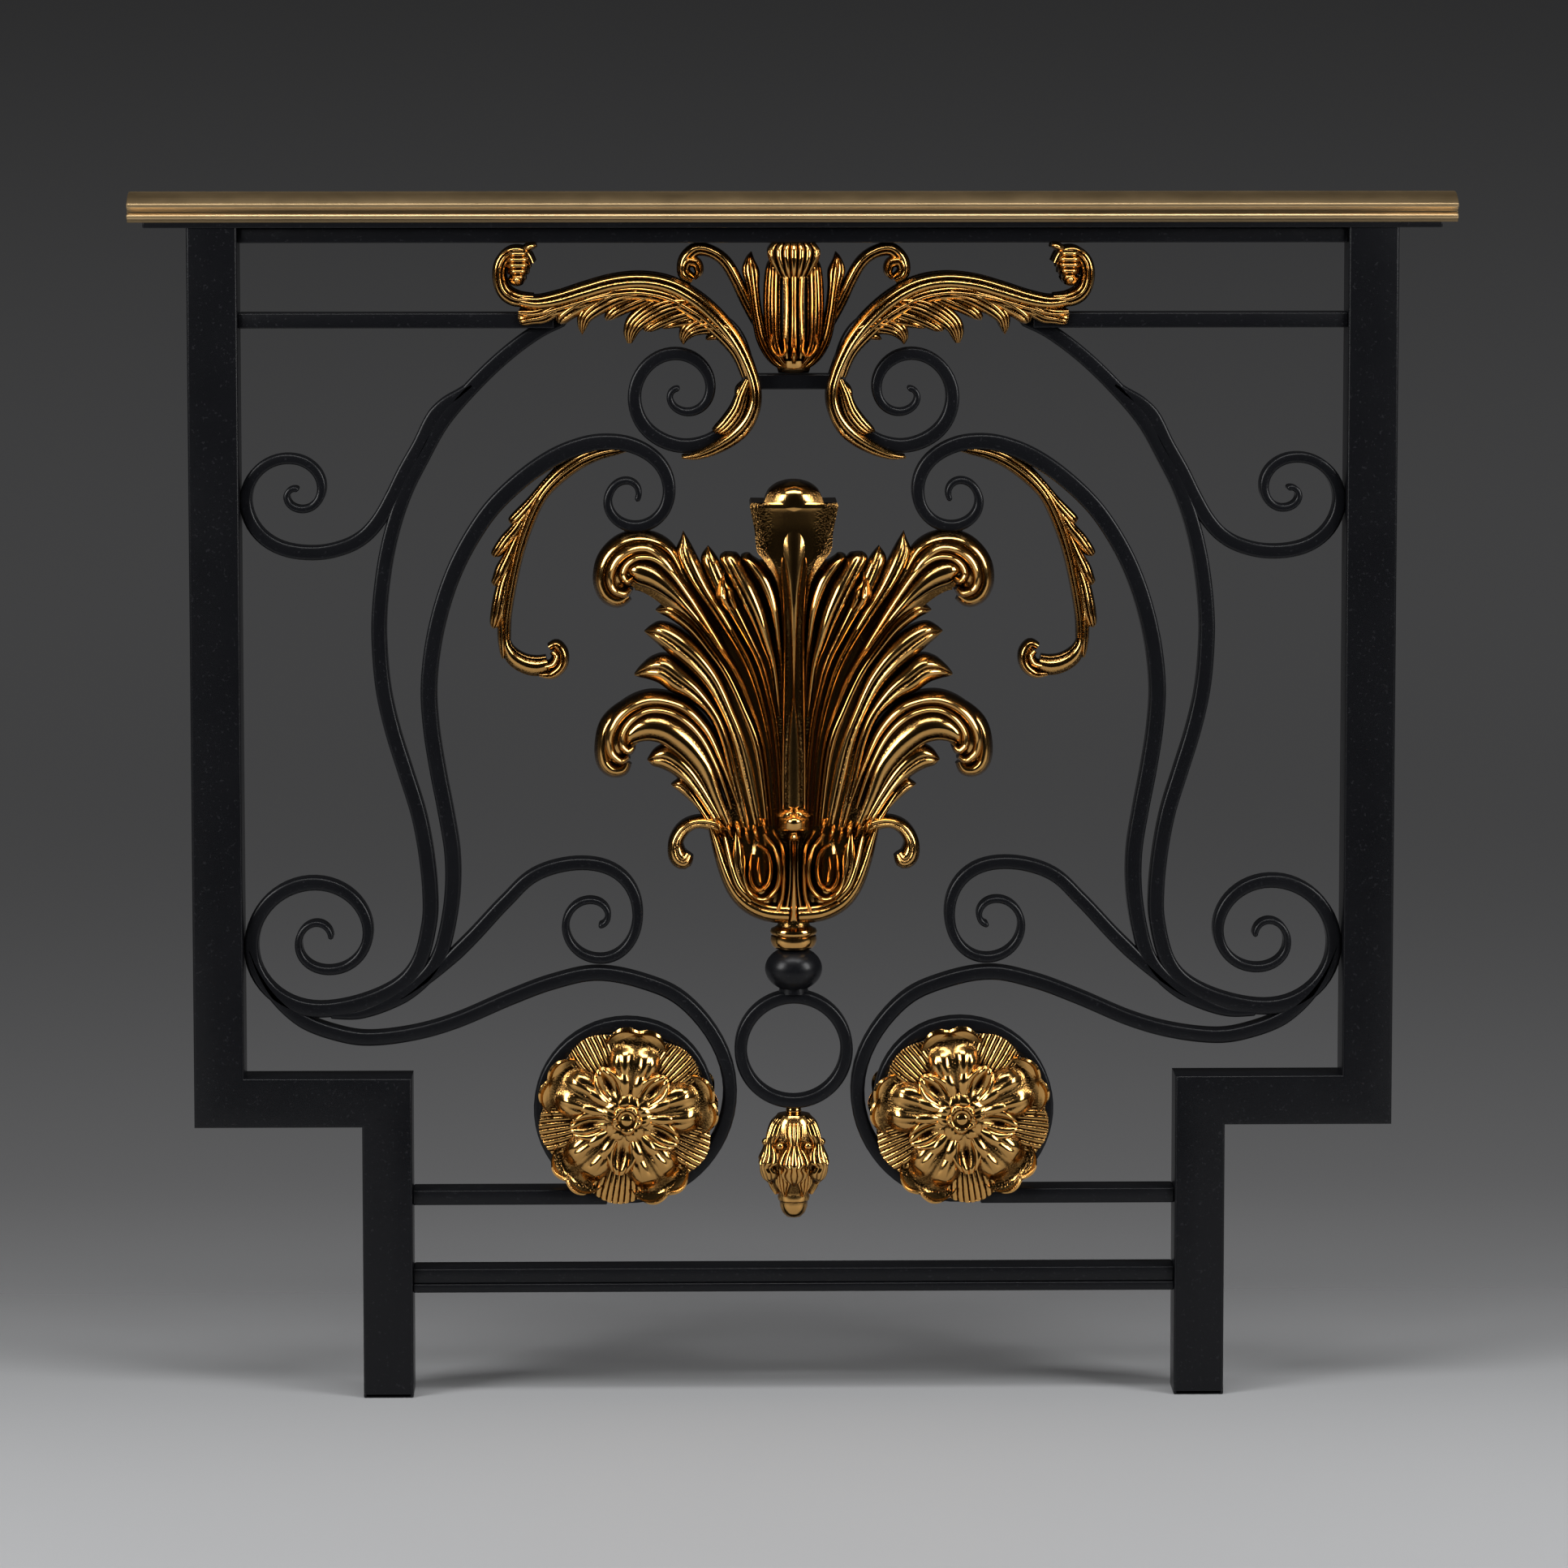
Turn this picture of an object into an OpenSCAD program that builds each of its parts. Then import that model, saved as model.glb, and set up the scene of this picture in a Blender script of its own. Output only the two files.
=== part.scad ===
// Ornamental wrought-iron panel on two legs with brass castings and a brass top rail.
// Millimetres. +Z is up, the front faces -Y, the origin is under the middle of the feet.
// The left half is drawn and the right half is its mirror image.

/* [Overall] */
// Clear opening between the two posts
opening_w = 880; // [720:1:1080]
// Height of the handrail top above the floor
panel_h = 968; // [800:1:1180]

/* [Frame] */
// Side of the square tube of the posts, steps and legs
post_w = 40; // [32:1:50]
// Wall of the square tube
tube_wall = 2; // [1.5:0.5:4]
// Thickness of the flat cross bars
bar_h = 12; // [9:0.5:15]
// Depth of the flat cross bars, front to back
bar_d = 30; // [24:1:36]

/* [Handrail] */
// Depth of the brass handrail, front to back
rail_d = 52; // [44:1:60]
// Overhang of the handrail past each post
rail_overhang = 46; // [30:1:60]
// Screws that hold the handrail
rail_screws = 5; // [3:1:7]

/* [Scrolls] */
// Thickness of the scroll bars as seen from the front
scroll_w = 12.5; // [10:0.5:15]
// Depth of the scroll bars, front to back
scroll_d = 20; // [16:1:24]

/* [Castings] */
// Relief of the brass castings in front of the iron
relief = 16; // [12:1:20]

/* [Hidden] */
$fn = 64;
// The drawing is made for an 880 mm opening and a top bar 927.5 mm up, then stretched.
rail_h = 24;
rail_z = panel_h - rail_h;
groove_d = 3.5;
plate_h = 8;
plate_w = 42;
plate_z = rail_z + groove_d - plate_h;
top_bar_z = plate_z - bar_h;
sx = opening_w / 880;
sz = top_bar_z / 927.5;
half_open = opening_w / 2;
post_x = half_open + post_w / 2;
leg_in = 306 * sx;
leg_x = leg_in + post_w / 2;
step_z = 220 * sz;
upper_bar_z = 860 * sz;
tie_z = 823 * sz - bar_h;
lower_bar_z = 156 * sz;
bottom_bar_z = 92 * sz;
flat_h = 7;
rail_l = 2 * (half_open + post_w + rail_overhang);
plate_l = rail_l - 24;
upper_bar_end = 190 * sx;
tie_half = 36 * sx;
boss_x = 134 * sx;
boss_z = 228 * sz;
boss_r = 67;
rosette_r = 66 * min(sx, sz);
boss_bore = 8;
ring_z = 280 * sz;
ring_r = 47.5;
ring_w = 10;
ring_top = ring_z + ring_r * sz;
finial_z = 228 * sz;
lower_bar_end = 150 * sx;
ball_z = 345 * sz;
ball_r = 23;
ball_h = 36;
collar_z = 361 * sz;
palm_z = 385 * sz;
front_y = -scroll_d / 2;
cap_h = 4;
screw_r = 3;
screw_head_r = 5.5;
screw_head_h = 3;
lap_l = 36;
// Gap left where a round stem is cut to the curve of the ring.
hairline = 0.02;

// ---------- curves ----------
// Point on a smooth curve between b and c, with neighbours a and d.
function blend(a, b, c, d, t) =
  0.5 * (2 * b + (c - a) * t + (2 * a - 5 * b + 4 * c - d) * t * t
  + (3 * b - a - 3 * c + d) * t * t * t);

// Smooth curve through the stations, n steps to each gap.
function smooth(s, n) = [
  for (i = [0 : len(s) - 2])
    for (k = [0 : n - 1])
      blend(s[max(i - 1, 0)], s[i], s[i + 1], s[min(i + 2, len(s) - 1)], k / n),
  s[len(s) - 1]
];

// Radius of a coil at t quarter turns, read smoothly from the radius at each quarter.
function coil_r(r, t) =
  let (i = min(floor(t), len(r) - 2))
  blend(r[max(i - 1, 0)], r[i], r[i + 1], r[min(i + 2, len(r) - 1)], t - i);

// Coil that winds inwards about c from angle a0; turn is 1 or -1.
function coil(c, a0, turn, r, n = 6) = [
  for (k = [0 : (len(r) - 1) * n])
    c + coil_r(r, k / n) * [cos(a0 + turn * 90 * k / n), sin(a0 + turn * 90 * k / n)]
];

// Stem joined to a coil as one centre line.
function stem_and_coil(stem, winding, n = 5) =
  let (joined = smooth(concat(stem, [winding[0], winding[3]]), n))
  concat([for (i = [0 : len(joined) - 2 - n]) joined[i]], winding);

function unit(v) = v / max(norm(v), 0.0001);
function tangent(p, i) = unit(p[min(i + 1, len(p) - 1)] - p[max(i - 1, 0)]);
function normal(p, i) = let (t = tangent(p, i)) [-t.y, t.x];
function stretch(p) = [p.x * sx, p.y * sz];

// Running length of a line up to each point.
function run(p, i = 0, s = 0, out = []) =
  i >= len(p) ? out
  : let (d = i == 0 ? 0 : norm(p[i] - p[i - 1]))
    run(p, i + 1, s + d, concat(out, [s + d]));

// Outline of a bar of varying width about a centre line; ends holds [share of length, share of width].
function bar_outline(line, ends) =
  let (p = [for (q = line) stretch(q)])
  let (s = run(p))
  let (total = s[len(s) - 1])
  let (w = [for (i = [0 : len(p) - 1]) scroll_w / 2 * lookup(s[i] / total, ends)])
  concat([for (i = [0 : len(p) - 1]) p[i] + normal(p, i) * w[i]],
    [for (i = [len(p) - 1 : -1 : 0]) p[i] - normal(p, i) * w[i]]);

// ---------- centre lines of the left half ----------
shoulder_line = stem_and_coil(
  [[-180, 868], [-203, 857], [-230, 837], [-256, 812], [-279, 785], [-296, 755], [-309, 729],
  [-319, 700], [-326, 668], [-330, 632], [-330, 603], [-327, 570], [-320, 538], [-310, 505],
  [-300, 472], [-294, 440], [-291, 408], [-292, 382], [-301, 350], [-321, 329]],
  coil([-378, 368], 288, -1, [56, 57, 49, 39, 24, 19, 16, 8]));
post_line = stem_and_coil(
  [[-262, 812], [-277, 799], [-287, 787], [-297, 767], [-309, 746], [-319, 726],
  [-330, 707], [-343, 693], [-361, 684]],
  coil([-393, 728], 278, -1, [48, 43, 28, 18, 12.5, 10, 3]));
inner_line = stem_and_coil(
  [[-372, 309], [-348, 310], [-322, 320], [-301, 334], [-286, 352], [-278, 376], [-273, 408],
  [-273, 440], [-278, 473], [-284, 505], [-289, 538], [-291, 570], [-288, 603], [-281, 635],
  [-271, 664], [-258, 690], [-241, 715], [-220, 736], [-197, 753], [-174, 764], [-151, 769]],
  coil([-132, 723], 80, -1, [43, 31, 20, 15.5, 14.5, 7]));
crown_line = stem_and_coil(
  [[-70, 871], [-51, 861], [-40, 843], [-36, 817], [-42, 796], [-56, 777], [-74, 767]],
  coil([-91, 807], 262, -1, [41, 35, 31.5, 23.5, 12, 6.5, 4]));
branch_line = stem_and_coil(
  [[-318, 321], [-306, 328], [-284, 346], [-258, 371], [-230, 401], [-204, 424]],
  coil([-157, 385], 99, -1, [47.5, 32.5, 31.5, 26, 16, 8, 4]));
base_line = stem_and_coil(
  [[-437, 366], [-428, 343], [-414, 322], [-394, 305], [-370, 295], [-342, 290], [-305, 294],
  [-270, 304], [-228, 322], [-193, 335], [-157, 342], [-117, 334]],
  coil([-134, 228], 58, -1, [101, 72.5, 66, 71, 72, 64]));

base_ends = [[0, 0.4], [0.08, 0.9], [0.88, 0.9], [1, 0.25]];

// ---------- outlines of the left half ----------
module post_zone() {
  translate([-half_open - 60, 0])
    square([60, panel_h]);
}
module upper_bar_zone() {
  translate([-half_open, upper_bar_z])
    square([half_open - upper_bar_end, bar_h]);
}
module shoulder_shape() {
  difference() {
    polygon(bar_outline(shoulder_line, [[0, 0.95], [0.55, 1], [0.8, 0.9], [1, 0.35]]));
    post_zone();
    upper_bar_zone();
  }
}
module post_scroll_shape() {
  difference() {
    polygon(bar_outline(post_line, [[0, 0.5], [0.1, 1], [0.5, 0.9], [0.85, 0.62], [1, 0.35]]));
    post_zone();
    shoulder_shape();
  }
}
module inner_shape() {
  difference() {
    polygon(bar_outline(inner_line, [[0, 0.4], [0.08, 1], [0.7, 1.1], [0.9, 0.7], [1, 0.35]]));
    shoulder_shape();
  }
}
module crown_shape() {
  difference() {
    polygon(bar_outline(crown_line, [[0, 0.8], [0.45, 0.9], [0.75, 0.8], [1, 0.35]]));
    inner_shape();
  }
}
module branch_shape() {
  difference() {
    polygon(bar_outline(branch_line, [[0, 0.4], [0.15, 0.9], [0.5, 0.8], [1, 0.35]]));
    shoulder_shape();
    inner_shape();
  }
}
module base_shape() {
  difference() {
    polygon(bar_outline(base_line, base_ends));
    post_zone();
    shoulder_shape();
    inner_shape();
  }
}
module ring_disc(gap = 0) {
  translate([0, ring_z])
    scale([sx, sz])
      circle(r = ring_r + gap);
}
module boss_disc() {
  translate([-boss_x, boss_z])
    scale([sx, sz])
      circle(r = boss_r);
}

// Stands a front-view outline up as a plate of the given depth about y = 0.
module stand(depth) {
  rotate([90, 0, 0])
    translate([0, 0, -depth / 2])
      linear_extrude(depth)
        children();
}
module flip() {
  mirror([1, 0, 0])
    children();
}

// ---------- frame ----------
module tube(length) {
  linear_extrude(length)
    difference() {
      square(post_w, center = true);
      square(post_w - 2 * tube_wall, center = true);
    }
}
// Half of the front view above or below the 45 degree mitre through a corner.
module mitre(cx, cz, below) {
  s = below ? 1 : -1;
  translate([cx, cz])
    polygon([[-post_w, -post_w], [post_w, post_w], [s * post_w, -s * post_w]]);
}
module left_post() {
  color("#17181b")
    difference() {
      translate([-post_x, 0, step_z])
        tube(plate_z - step_z);
      stand(2 * post_w)
        mitre(-post_x, step_z + post_w / 2, true);
    }
}
module left_step() {
  color("#17181b")
    difference() {
      translate([-post_x - post_w / 2, 0, step_z + post_w / 2])
        rotate([0, 90, 0])
          tube(post_x + post_w - leg_x);
      stand(2 * post_w) {
        mitre(-post_x, step_z + post_w / 2, false);
        mitre(-leg_x, step_z + post_w / 2, true);
      }
    }
}
module left_leg() {
  color("#17181b")
    difference() {
      translate([-leg_x, 0, cap_h])
        tube(step_z + post_w - cap_h);
      stand(2 * post_w)
        mitre(-leg_x, step_z + post_w / 2, false);
    }
}
module right_post() {
  flip()
    left_post();
}
module right_step() {
  flip()
    left_step();
}
module right_leg() {
  flip()
    left_leg();
}
module foot_caps() {
  color("#17181b")
    for (s = [-1, 1])
      translate([s * leg_x - post_w / 2, -post_w / 2, 0])
        cube([post_w, post_w, cap_h]);
}
module flat_bar(x0, x1, z, height, depth) {
  color("#17181b")
    translate([x0, -depth / 2, z])
      cube([x1 - x0, depth, height]);
}
module top_bar() {
  color("#17181b")
    difference() {
      flat_bar(-half_open, half_open, top_bar_z, bar_h, bar_d);
      screw_set();
    }
}
module left_upper_bar() {
  color("#17181b")
    difference() {
      flat_bar(-half_open, -upper_bar_end, upper_bar_z, bar_h, bar_d);
      lap(-upper_bar_end, upper_bar_z);
    }
}
// The last stretch of a bar is thinned front and back so that a casting lies over it.
module lap(end_x, z) {
  for (side_y = [-scroll_d / 2 - bar_d, scroll_d / 2])
    translate([end_x - lap_l * sx, side_y, z - 1])
      cube([lap_l * sx + 1, bar_d, bar_h + 2]);
}
module right_upper_bar() {
  flip()
    left_upper_bar();
}
module centre_tie() {
  color("#17181b")
    stand(scroll_d)
      difference() {
        translate([-tie_half, tie_z])
          square([2 * tie_half, bar_h]);
        pair()
          crown_shape();
      }
}
module left_lower_bar() {
  color("#17181b")
    difference() {
      stand(bar_d)
        difference() {
          translate([-leg_in, lower_bar_z])
            square([leg_in - lower_bar_end, bar_h]);
          polygon(bar_outline(base_line, base_ends));
        }
      lap(-lower_bar_end, lower_bar_z);
    }
}
module right_lower_bar() {
  flip()
    left_lower_bar();
}
module bottom_bar() {
  flat_bar(-leg_in, leg_in, bottom_bar_z, bar_h, bar_d);
}
module bottom_flat() {
  flat_bar(-leg_in, leg_in, bottom_bar_z - flat_h, flat_h, bar_d + 4);
}

// ---------- handrail ----------
module rail_plate() {
  color("#17181b")
    difference() {
      translate([-plate_l / 2, -plate_w / 2, plate_z])
        cube([plate_l, plate_w, plate_h]);
      screw_set();
    }
}
module screw_set() {
  pitch = opening_w / rail_screws;
  for (i = [0 : rail_screws - 1])
    translate([(i - (rail_screws - 1) / 2) * pitch, 0, top_bar_z]) {
      cylinder(r1 = screw_head_r, r2 = screw_r, h = screw_head_h);
      cylinder(r = screw_r, h = bar_h + plate_h + rail_h / 3);
    }
}
module rail_screws() {
  color("#8a8c90")
    screw_set();
}
module rail_profile() {
  bead_r = 2.5;
  dome_base = 14;
  dome_h = rail_h - dome_base;
  dome_r = (pow(rail_d / 2, 2) + dome_h * dome_h) / (2 * dome_h);
  lip_d = rail_d - 8;
  difference() {
    union() {
      intersection() {
        translate([0, rail_h - dome_r])
          circle(r = dome_r);
        translate([-rail_d / 2, dome_base])
          square([rail_d, dome_h]);
      }
      translate([-lip_d / 2, 0])
        square([lip_d, dome_base]);
      for (s = [-1, 1]) {
        translate([s * (rail_d / 2 - bead_r), dome_base - 0.5])
          circle(r = bead_r);
        translate([s * (lip_d / 2), 4.5])
          circle(r = bead_r);
      }
      translate([-rail_d / 2 + bead_r, dome_base - 3])
        square([rail_d - 2 * bead_r, 3]);
    }
    translate([-plate_w / 2, -1])
      square([plate_w, groove_d + 1]);
  }
}
module handrail() {
  color("#c19a4b")
    difference() {
      translate([-rail_l / 2, 0, rail_z])
        rotate([90, 0, 90])
          linear_extrude(rail_l)
            rail_profile();
      screw_set();
    }
}

// ---------- scroll work ----------
module left_shoulder_scroll() {
  color("#17181b")
    stand(scroll_d)
      shoulder_shape();
}
module left_post_scroll() {
  color("#17181b")
    stand(scroll_d)
      post_scroll_shape();
}
module left_inner_scroll() {
  color("#17181b")
    stand(scroll_d)
      inner_shape();
}
module left_crown_scroll() {
  color("#17181b")
    stand(scroll_d)
      crown_shape();
}
module left_branch_scroll() {
  color("#17181b")
    stand(scroll_d)
      branch_shape();
}
module left_base_scroll() {
  color("#17181b")
    stand(scroll_d)
      base_shape();
}
module right_shoulder_scroll() {
  flip()
    left_shoulder_scroll();
}
module right_post_scroll() {
  flip()
    left_post_scroll();
}
module right_inner_scroll() {
  flip()
    left_inner_scroll();
}
module right_crown_scroll() {
  flip()
    left_crown_scroll();
}
module right_branch_scroll() {
  flip()
    left_branch_scroll();
}
module right_base_scroll() {
  flip()
    left_base_scroll();
}
module left_boss() {
  color("#17181b")
    difference() {
      stand(scroll_d)
        difference() {
          boss_disc();
          polygon(bar_outline(base_line, base_ends));
        }
      stud_pair();
    }
}
module right_boss() {
  flip()
    left_boss();
}
module centre_ring() {
  color("#17181b")
    stand(scroll_d)
      difference() {
        ring_disc();
        translate([0, ring_z])
          scale([sx, sz])
            circle(r = ring_r - ring_w);
        ring_neighbours();
      }
}
module ring_neighbours() {
  polygon(bar_outline(base_line, base_ends));
  flip()
    polygon(bar_outline(base_line, base_ends));
}

// ---------- turned parts on the centre line ----------
module ball() {
  neck_r = 12;
  color("#17181b")
    difference() {
      union() {
        translate([0, 0, ball_z])
          scale([1, 1, ball_h / (2 * ball_r)])
            sphere(r = ball_r);
        translate([0, 0, ring_top - 3])
          cylinder(r = neck_r, h = collar_z - ring_top + 3);
      }
      stand(3 * ball_r)
        ring_disc();
      translate([0, 0, collar_z])
        cylinder(r = 3 * ball_r, h = ball_h);
    }
}
module palmette_collar() {
  foot_r = 15;
  waist_r = 13;
  collar_h = palm_z - collar_z;
  color("#c8963c")
    translate([0, 0, collar_z])
      rotate_extrude() {
        square([foot_r, 4]);
        translate([0, 4])
          square([foot_r + 1, 8]);
        translate([foot_r + 1, 8])
          circle(r = 4);
        translate([0, 12])
          square([waist_r, collar_h - 12]);
      }
}

// ---------- leaf work ----------
// Ring of points about a station: a flat back at depth y0 and a crowned front of height h.
function half_ring(p, n, w, h, y0) = [
  for (a = [0 : 60 : 180])
    [p.x + n.x * w * cos(a), y0 - h * sin(a), p.y + n.y * w * cos(a)]
];
function full_ring(p, n, w, h, y0) = [
  for (a = [0 : 60 : 300])
    [p.x + n.x * w * cos(a), y0 - h * sin(a), p.y + n.y * w * cos(a)]
];

// Solid through rings of m points each.
module skin(rings) {
  m = len(rings[0]);
  count = len(rings);
  polyhedron(
    points = [for (r = rings) for (q = r) q],
    faces = concat(
      [[for (j = [0 : m - 1]) j]],
      [[for (j = [m - 1 : -1 : 0]) (count - 1) * m + j]],
      [for (i = [0 : count - 2]) for (j = [0 : m - 1])
        [i * m + j, (i + 1) * m + j, i * m + (j + 1) % m]],
      [for (i = [0 : count - 2]) for (j = [0 : m - 1])
        [i * m + (j + 1) % m, (i + 1) * m + j, (i + 1) * m + (j + 1) % m]]));
}

// Frond along stations [x, z, half width, height]; full fronds are round all over.
module frond(s, y0 = 0, n = 2, full = false) {
  fine = smooth(s, n);
  line = [for (q = fine) [q[0] * sx, q[1] * sz]];
  skin([for (i = [0 : len(line) - 1])
    full
    ? full_ring(line[i], normal(line, i), max(fine[i][2], 0.6), max(fine[i][3], 0.6), y0)
    : half_ring(line[i], normal(line, i), max(fine[i][2], 0.6), max(fine[i][3], 0.6) * relief / 16, y0)]);
}
// Short frond whose sides run straight from station to station.
module lobe(s, y0 = 0, full = false) {
  frond(s, y0, 1, full);
}
module pair() {
  children();
  flip()
    children();
}
// Joins the fronds of one casting into one body.
module casting() {
  color("#c8963c")
    resize([0, 0, 0])
      union()
        children();
}
// Turns a front half round to the back.
module to_back() {
  mirror([0, 1, 0])
    children();
}

// Front half of the palmette; its flat back lies at y = 0.
module palmette_half() {
  pair() {
    frond([[-3, 470, 5, 12], [-14, 530, 8, 19], [-32, 592, 12, 22], [-60, 645, 15, 23],
      [-92, 674, 15, 23], [-124, 682, 12, 21], [-146, 667, 11, 19], [-146, 648, 9, 17],
      [-132, 646, 6, 15]]);
    frond([[-8, 466, 5, 12], [-26, 505, 8, 18], [-52, 540, 11, 20], [-84, 556, 11, 20],
      [-120, 554, 11, 19], [-146, 537, 10, 18], [-146, 516, 9, 16], [-133, 510, 6, 14]]);
    lobe([[-6, 474, 5, 12], [-24, 540, 8, 20], [-52, 598, 10, 21], [-84, 628, 8, 18],
      [-111, 634, 2, 10]]);
    lobe([[-7, 472, 5, 12], [-28, 530, 8, 19], [-58, 580, 10, 20], [-90, 608, 8, 17],
      [-118, 612, 2, 10]]);
    lobe([[-8, 470, 5, 12], [-32, 522, 8, 18], [-64, 562, 10, 19], [-98, 585, 8, 16],
      [-126, 582, 2, 9]]);
    frond([[-5, 480, 5, 12], [-18, 560, 9, 21], [-40, 625, 11, 22], [-66, 668, 8, 18],
      [-87, 697, 2, 9]]);
    lobe([[-4, 480, 5, 12], [-12, 560, 8, 22], [-26, 630, 10, 22], [-46, 672, 8, 18],
      [-64, 684, 3, 12]]);
    lobe([[-3, 480, 5, 12], [-8, 560, 7, 22], [-16, 630, 10, 24], [-28, 668, 11, 23],
      [-42, 680, 8, 16]]);
    lobe([[-8, 462, 5, 12], [-38, 494, 8, 17], [-68, 514, 9, 17], [-92, 522, 7, 14],
      [-116, 517, 3, 9]]);
    lobe([[-10, 456, 6, 12], [-36, 478, 8, 16], [-60, 492, 7, 14], [-84, 498, 5, 12],
      [-97, 493, 2, 8]]);
    lobe([[-40, 425, 6, 13], [-54, 446, 6, 14], [-70, 462, 6, 13], [-86, 464, 5, 12],
      [-94, 452, 6, 12], [-91, 436, 6, 12], [-85, 432, 4, 10]]);
    lobe([[-4, 392, 9, 13], [-24, 402, 10, 18], [-38, 420, 11, 20], [-46, 446, 12, 20],
      [-40, 470, 10, 17], [-24, 478, 8, 14]]);
    lobe([[-22, 412, 5, 16], [-33, 426, 6, 20], [-30, 446, 6, 22], [-20, 454, 5, 21],
      [-14, 440, 5, 20], [-18, 420, 5, 18]]);
    lobe([[-2, 396, 8, 14], [-8, 430, 10, 20], [-10, 470, 8, 20]]);
  }
  lobe([[0, 384, 12, 12], [0, 400, 10, 15], [0, 440, 12, 22], [0, 470, 13, 24], [0, 500, 7, 23],
    [0, 600, 8, 27], [0, 684, 12, 29]]);
  lobe([[0, 655, 22, 14], [0, 684, 29, 22], [0, 700, 31, 26], [0, 718, 35, 28], [0, 722, 34, 27]]);
  lobe([[0, 718, 24, 23], [0, 726, 21, 21], [0, 734, 14, 15], [0, 738, 6, 8]]);
  translate([0, -12, 464 * sz])
    rotate([90, 0, 0])
      cylinder(r = 13, h = 14, $fn = 12);
}
module palmette_front() {
  casting()
    difference() {
      union()
        palmette_half();
      below(palm_z);
    }
}
module palmette_back() {
  to_back()
    palmette_front();
}
// Everything under a level, or over it.
module below(z) {
  translate([-half_open, -half_open, z - 2 * half_open])
    cube(2 * half_open);
}
module above(z) {
  translate([-half_open, -half_open, z])
    cube(2 * half_open);
}
module palmette_pins() {
  pin_r = 5;
  color("#17181b")
    resize([0, 0, 0])
      difference() {
        pair()
          translate([-130 * sx, 0, 688 * sz])
            cylinder(r = pin_r, h = 16 * sz, $fn = 12);
        pair()
          stand(scroll_d)
            inner_shape();
        palmette_half();
        to_back()
          palmette_half();
      }
}

// Front half of the cartouche; its flat back lies at y = 0.
module cartouche_half() {
  pair() {
    lobe([[-3, 828, 5, 12], [-18, 838, 8, 17], [-27, 862, 9, 20], [-29, 892, 8, 18],
      [-33, 918, 3, 10]]);
    lobe([[-4, 832, 6, 14], [-12, 850, 7, 22], [-17, 880, 7, 24], [-16, 912, 6, 20]]);
    frond([[-26, 868, 6, 12], [-40, 884, 5, 13], [-50, 903, 5, 13], [-62, 918, 5, 13],
      [-76, 923, 6, 13], [-86, 912, 7, 13], [-83, 900, 6, 12], [-75, 899, 5, 11]]);
  }
  lobe([[0, 820, 11, 12], [0, 828, 12, 18], [0, 842, 13, 26], [0, 880, 12, 24], [0, 906, 14, 22]]);
  lobe([[0, 900, 17, 24], [0, 912, 20, 27], [0, 929, 19, 22]]);
}
module cartouche_front() {
  casting()
    difference() {
      union()
        cartouche_half();
      above(top_bar_z);
      below(tie_z + bar_h);
      pair() {
        translate([0, front_y, 0])
          spray_half();
        stand(scroll_d)
          crown_shape();
      }
    }
}
module cartouche_back() {
  to_back()
    cartouche_front();
}

// Front half of the left spray; its flat back lies at y = 0.
module spray_half() {
  frond([[-216, 897, 6, 10], [-210, 904, 8, 13], [-214, 920, 9, 15], [-228, 915, 9, 15],
    [-234, 898, 8, 14], [-226, 882, 9, 14], [-205, 877, 10, 14], [-180, 882, 10, 14],
    [-150, 890, 11, 15], [-118, 893, 11, 16], [-88, 886, 12, 17], [-62, 869, 11, 17],
    [-43, 846, 9, 16], [-34, 818, 7, 14], [-37, 793, 8, 13], [-50, 774, 7, 11],
    [-68, 764, 5, 9], [-88, 758, 2, 6]]);
  lobe([[-160, 886, 6, 12], [-188, 876, 7, 11], [-206, 870, 6, 9], [-217, 867, 3, 6]]);
  lobe([[-120, 892, 8, 14], [-146, 882, 10, 13], [-163, 869, 8, 11], [-168, 856, 2, 7]]);
  lobe([[-110, 890, 8, 14], [-132, 880, 9, 13], [-148, 868, 4, 8]]);
  lobe([[-78, 880, 10, 15], [-102, 878, 14, 14], [-122, 867, 10, 12], [-129, 849, 2, 8]]);
  lobe([[-74, 878, 8, 14], [-92, 872, 8, 12], [-106, 862, 3, 8]]);
  lobe([[-46, 852, 9, 15], [-62, 862, 12, 14], [-80, 862, 8, 12], [-88, 848, 2, 8]]);
  lobe([[-44, 848, 6, 12], [-56, 852, 6, 11], [-68, 852, 3, 8]]);
  lobe([[-38, 812, 5, 12], [-46, 802, 6, 12], [-52, 790, 6, 11], [-64, 779, 3, 7]]);
  // lug that meets the underside of the top bar
  lobe([[-214, 905, 6, 11], [-214, 936, 6, 11]]);
}
module left_spray_front() {
  casting()
    difference() {
      translate([0, front_y, 0])
        spray_half();
      above(top_bar_z);
    }
}
module left_spray_back() {
  to_back()
    left_spray_front();
}
module right_spray_front() {
  flip()
    left_spray_front();
}
module right_spray_back() {
  flip()
    left_spray_back();
}

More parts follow.
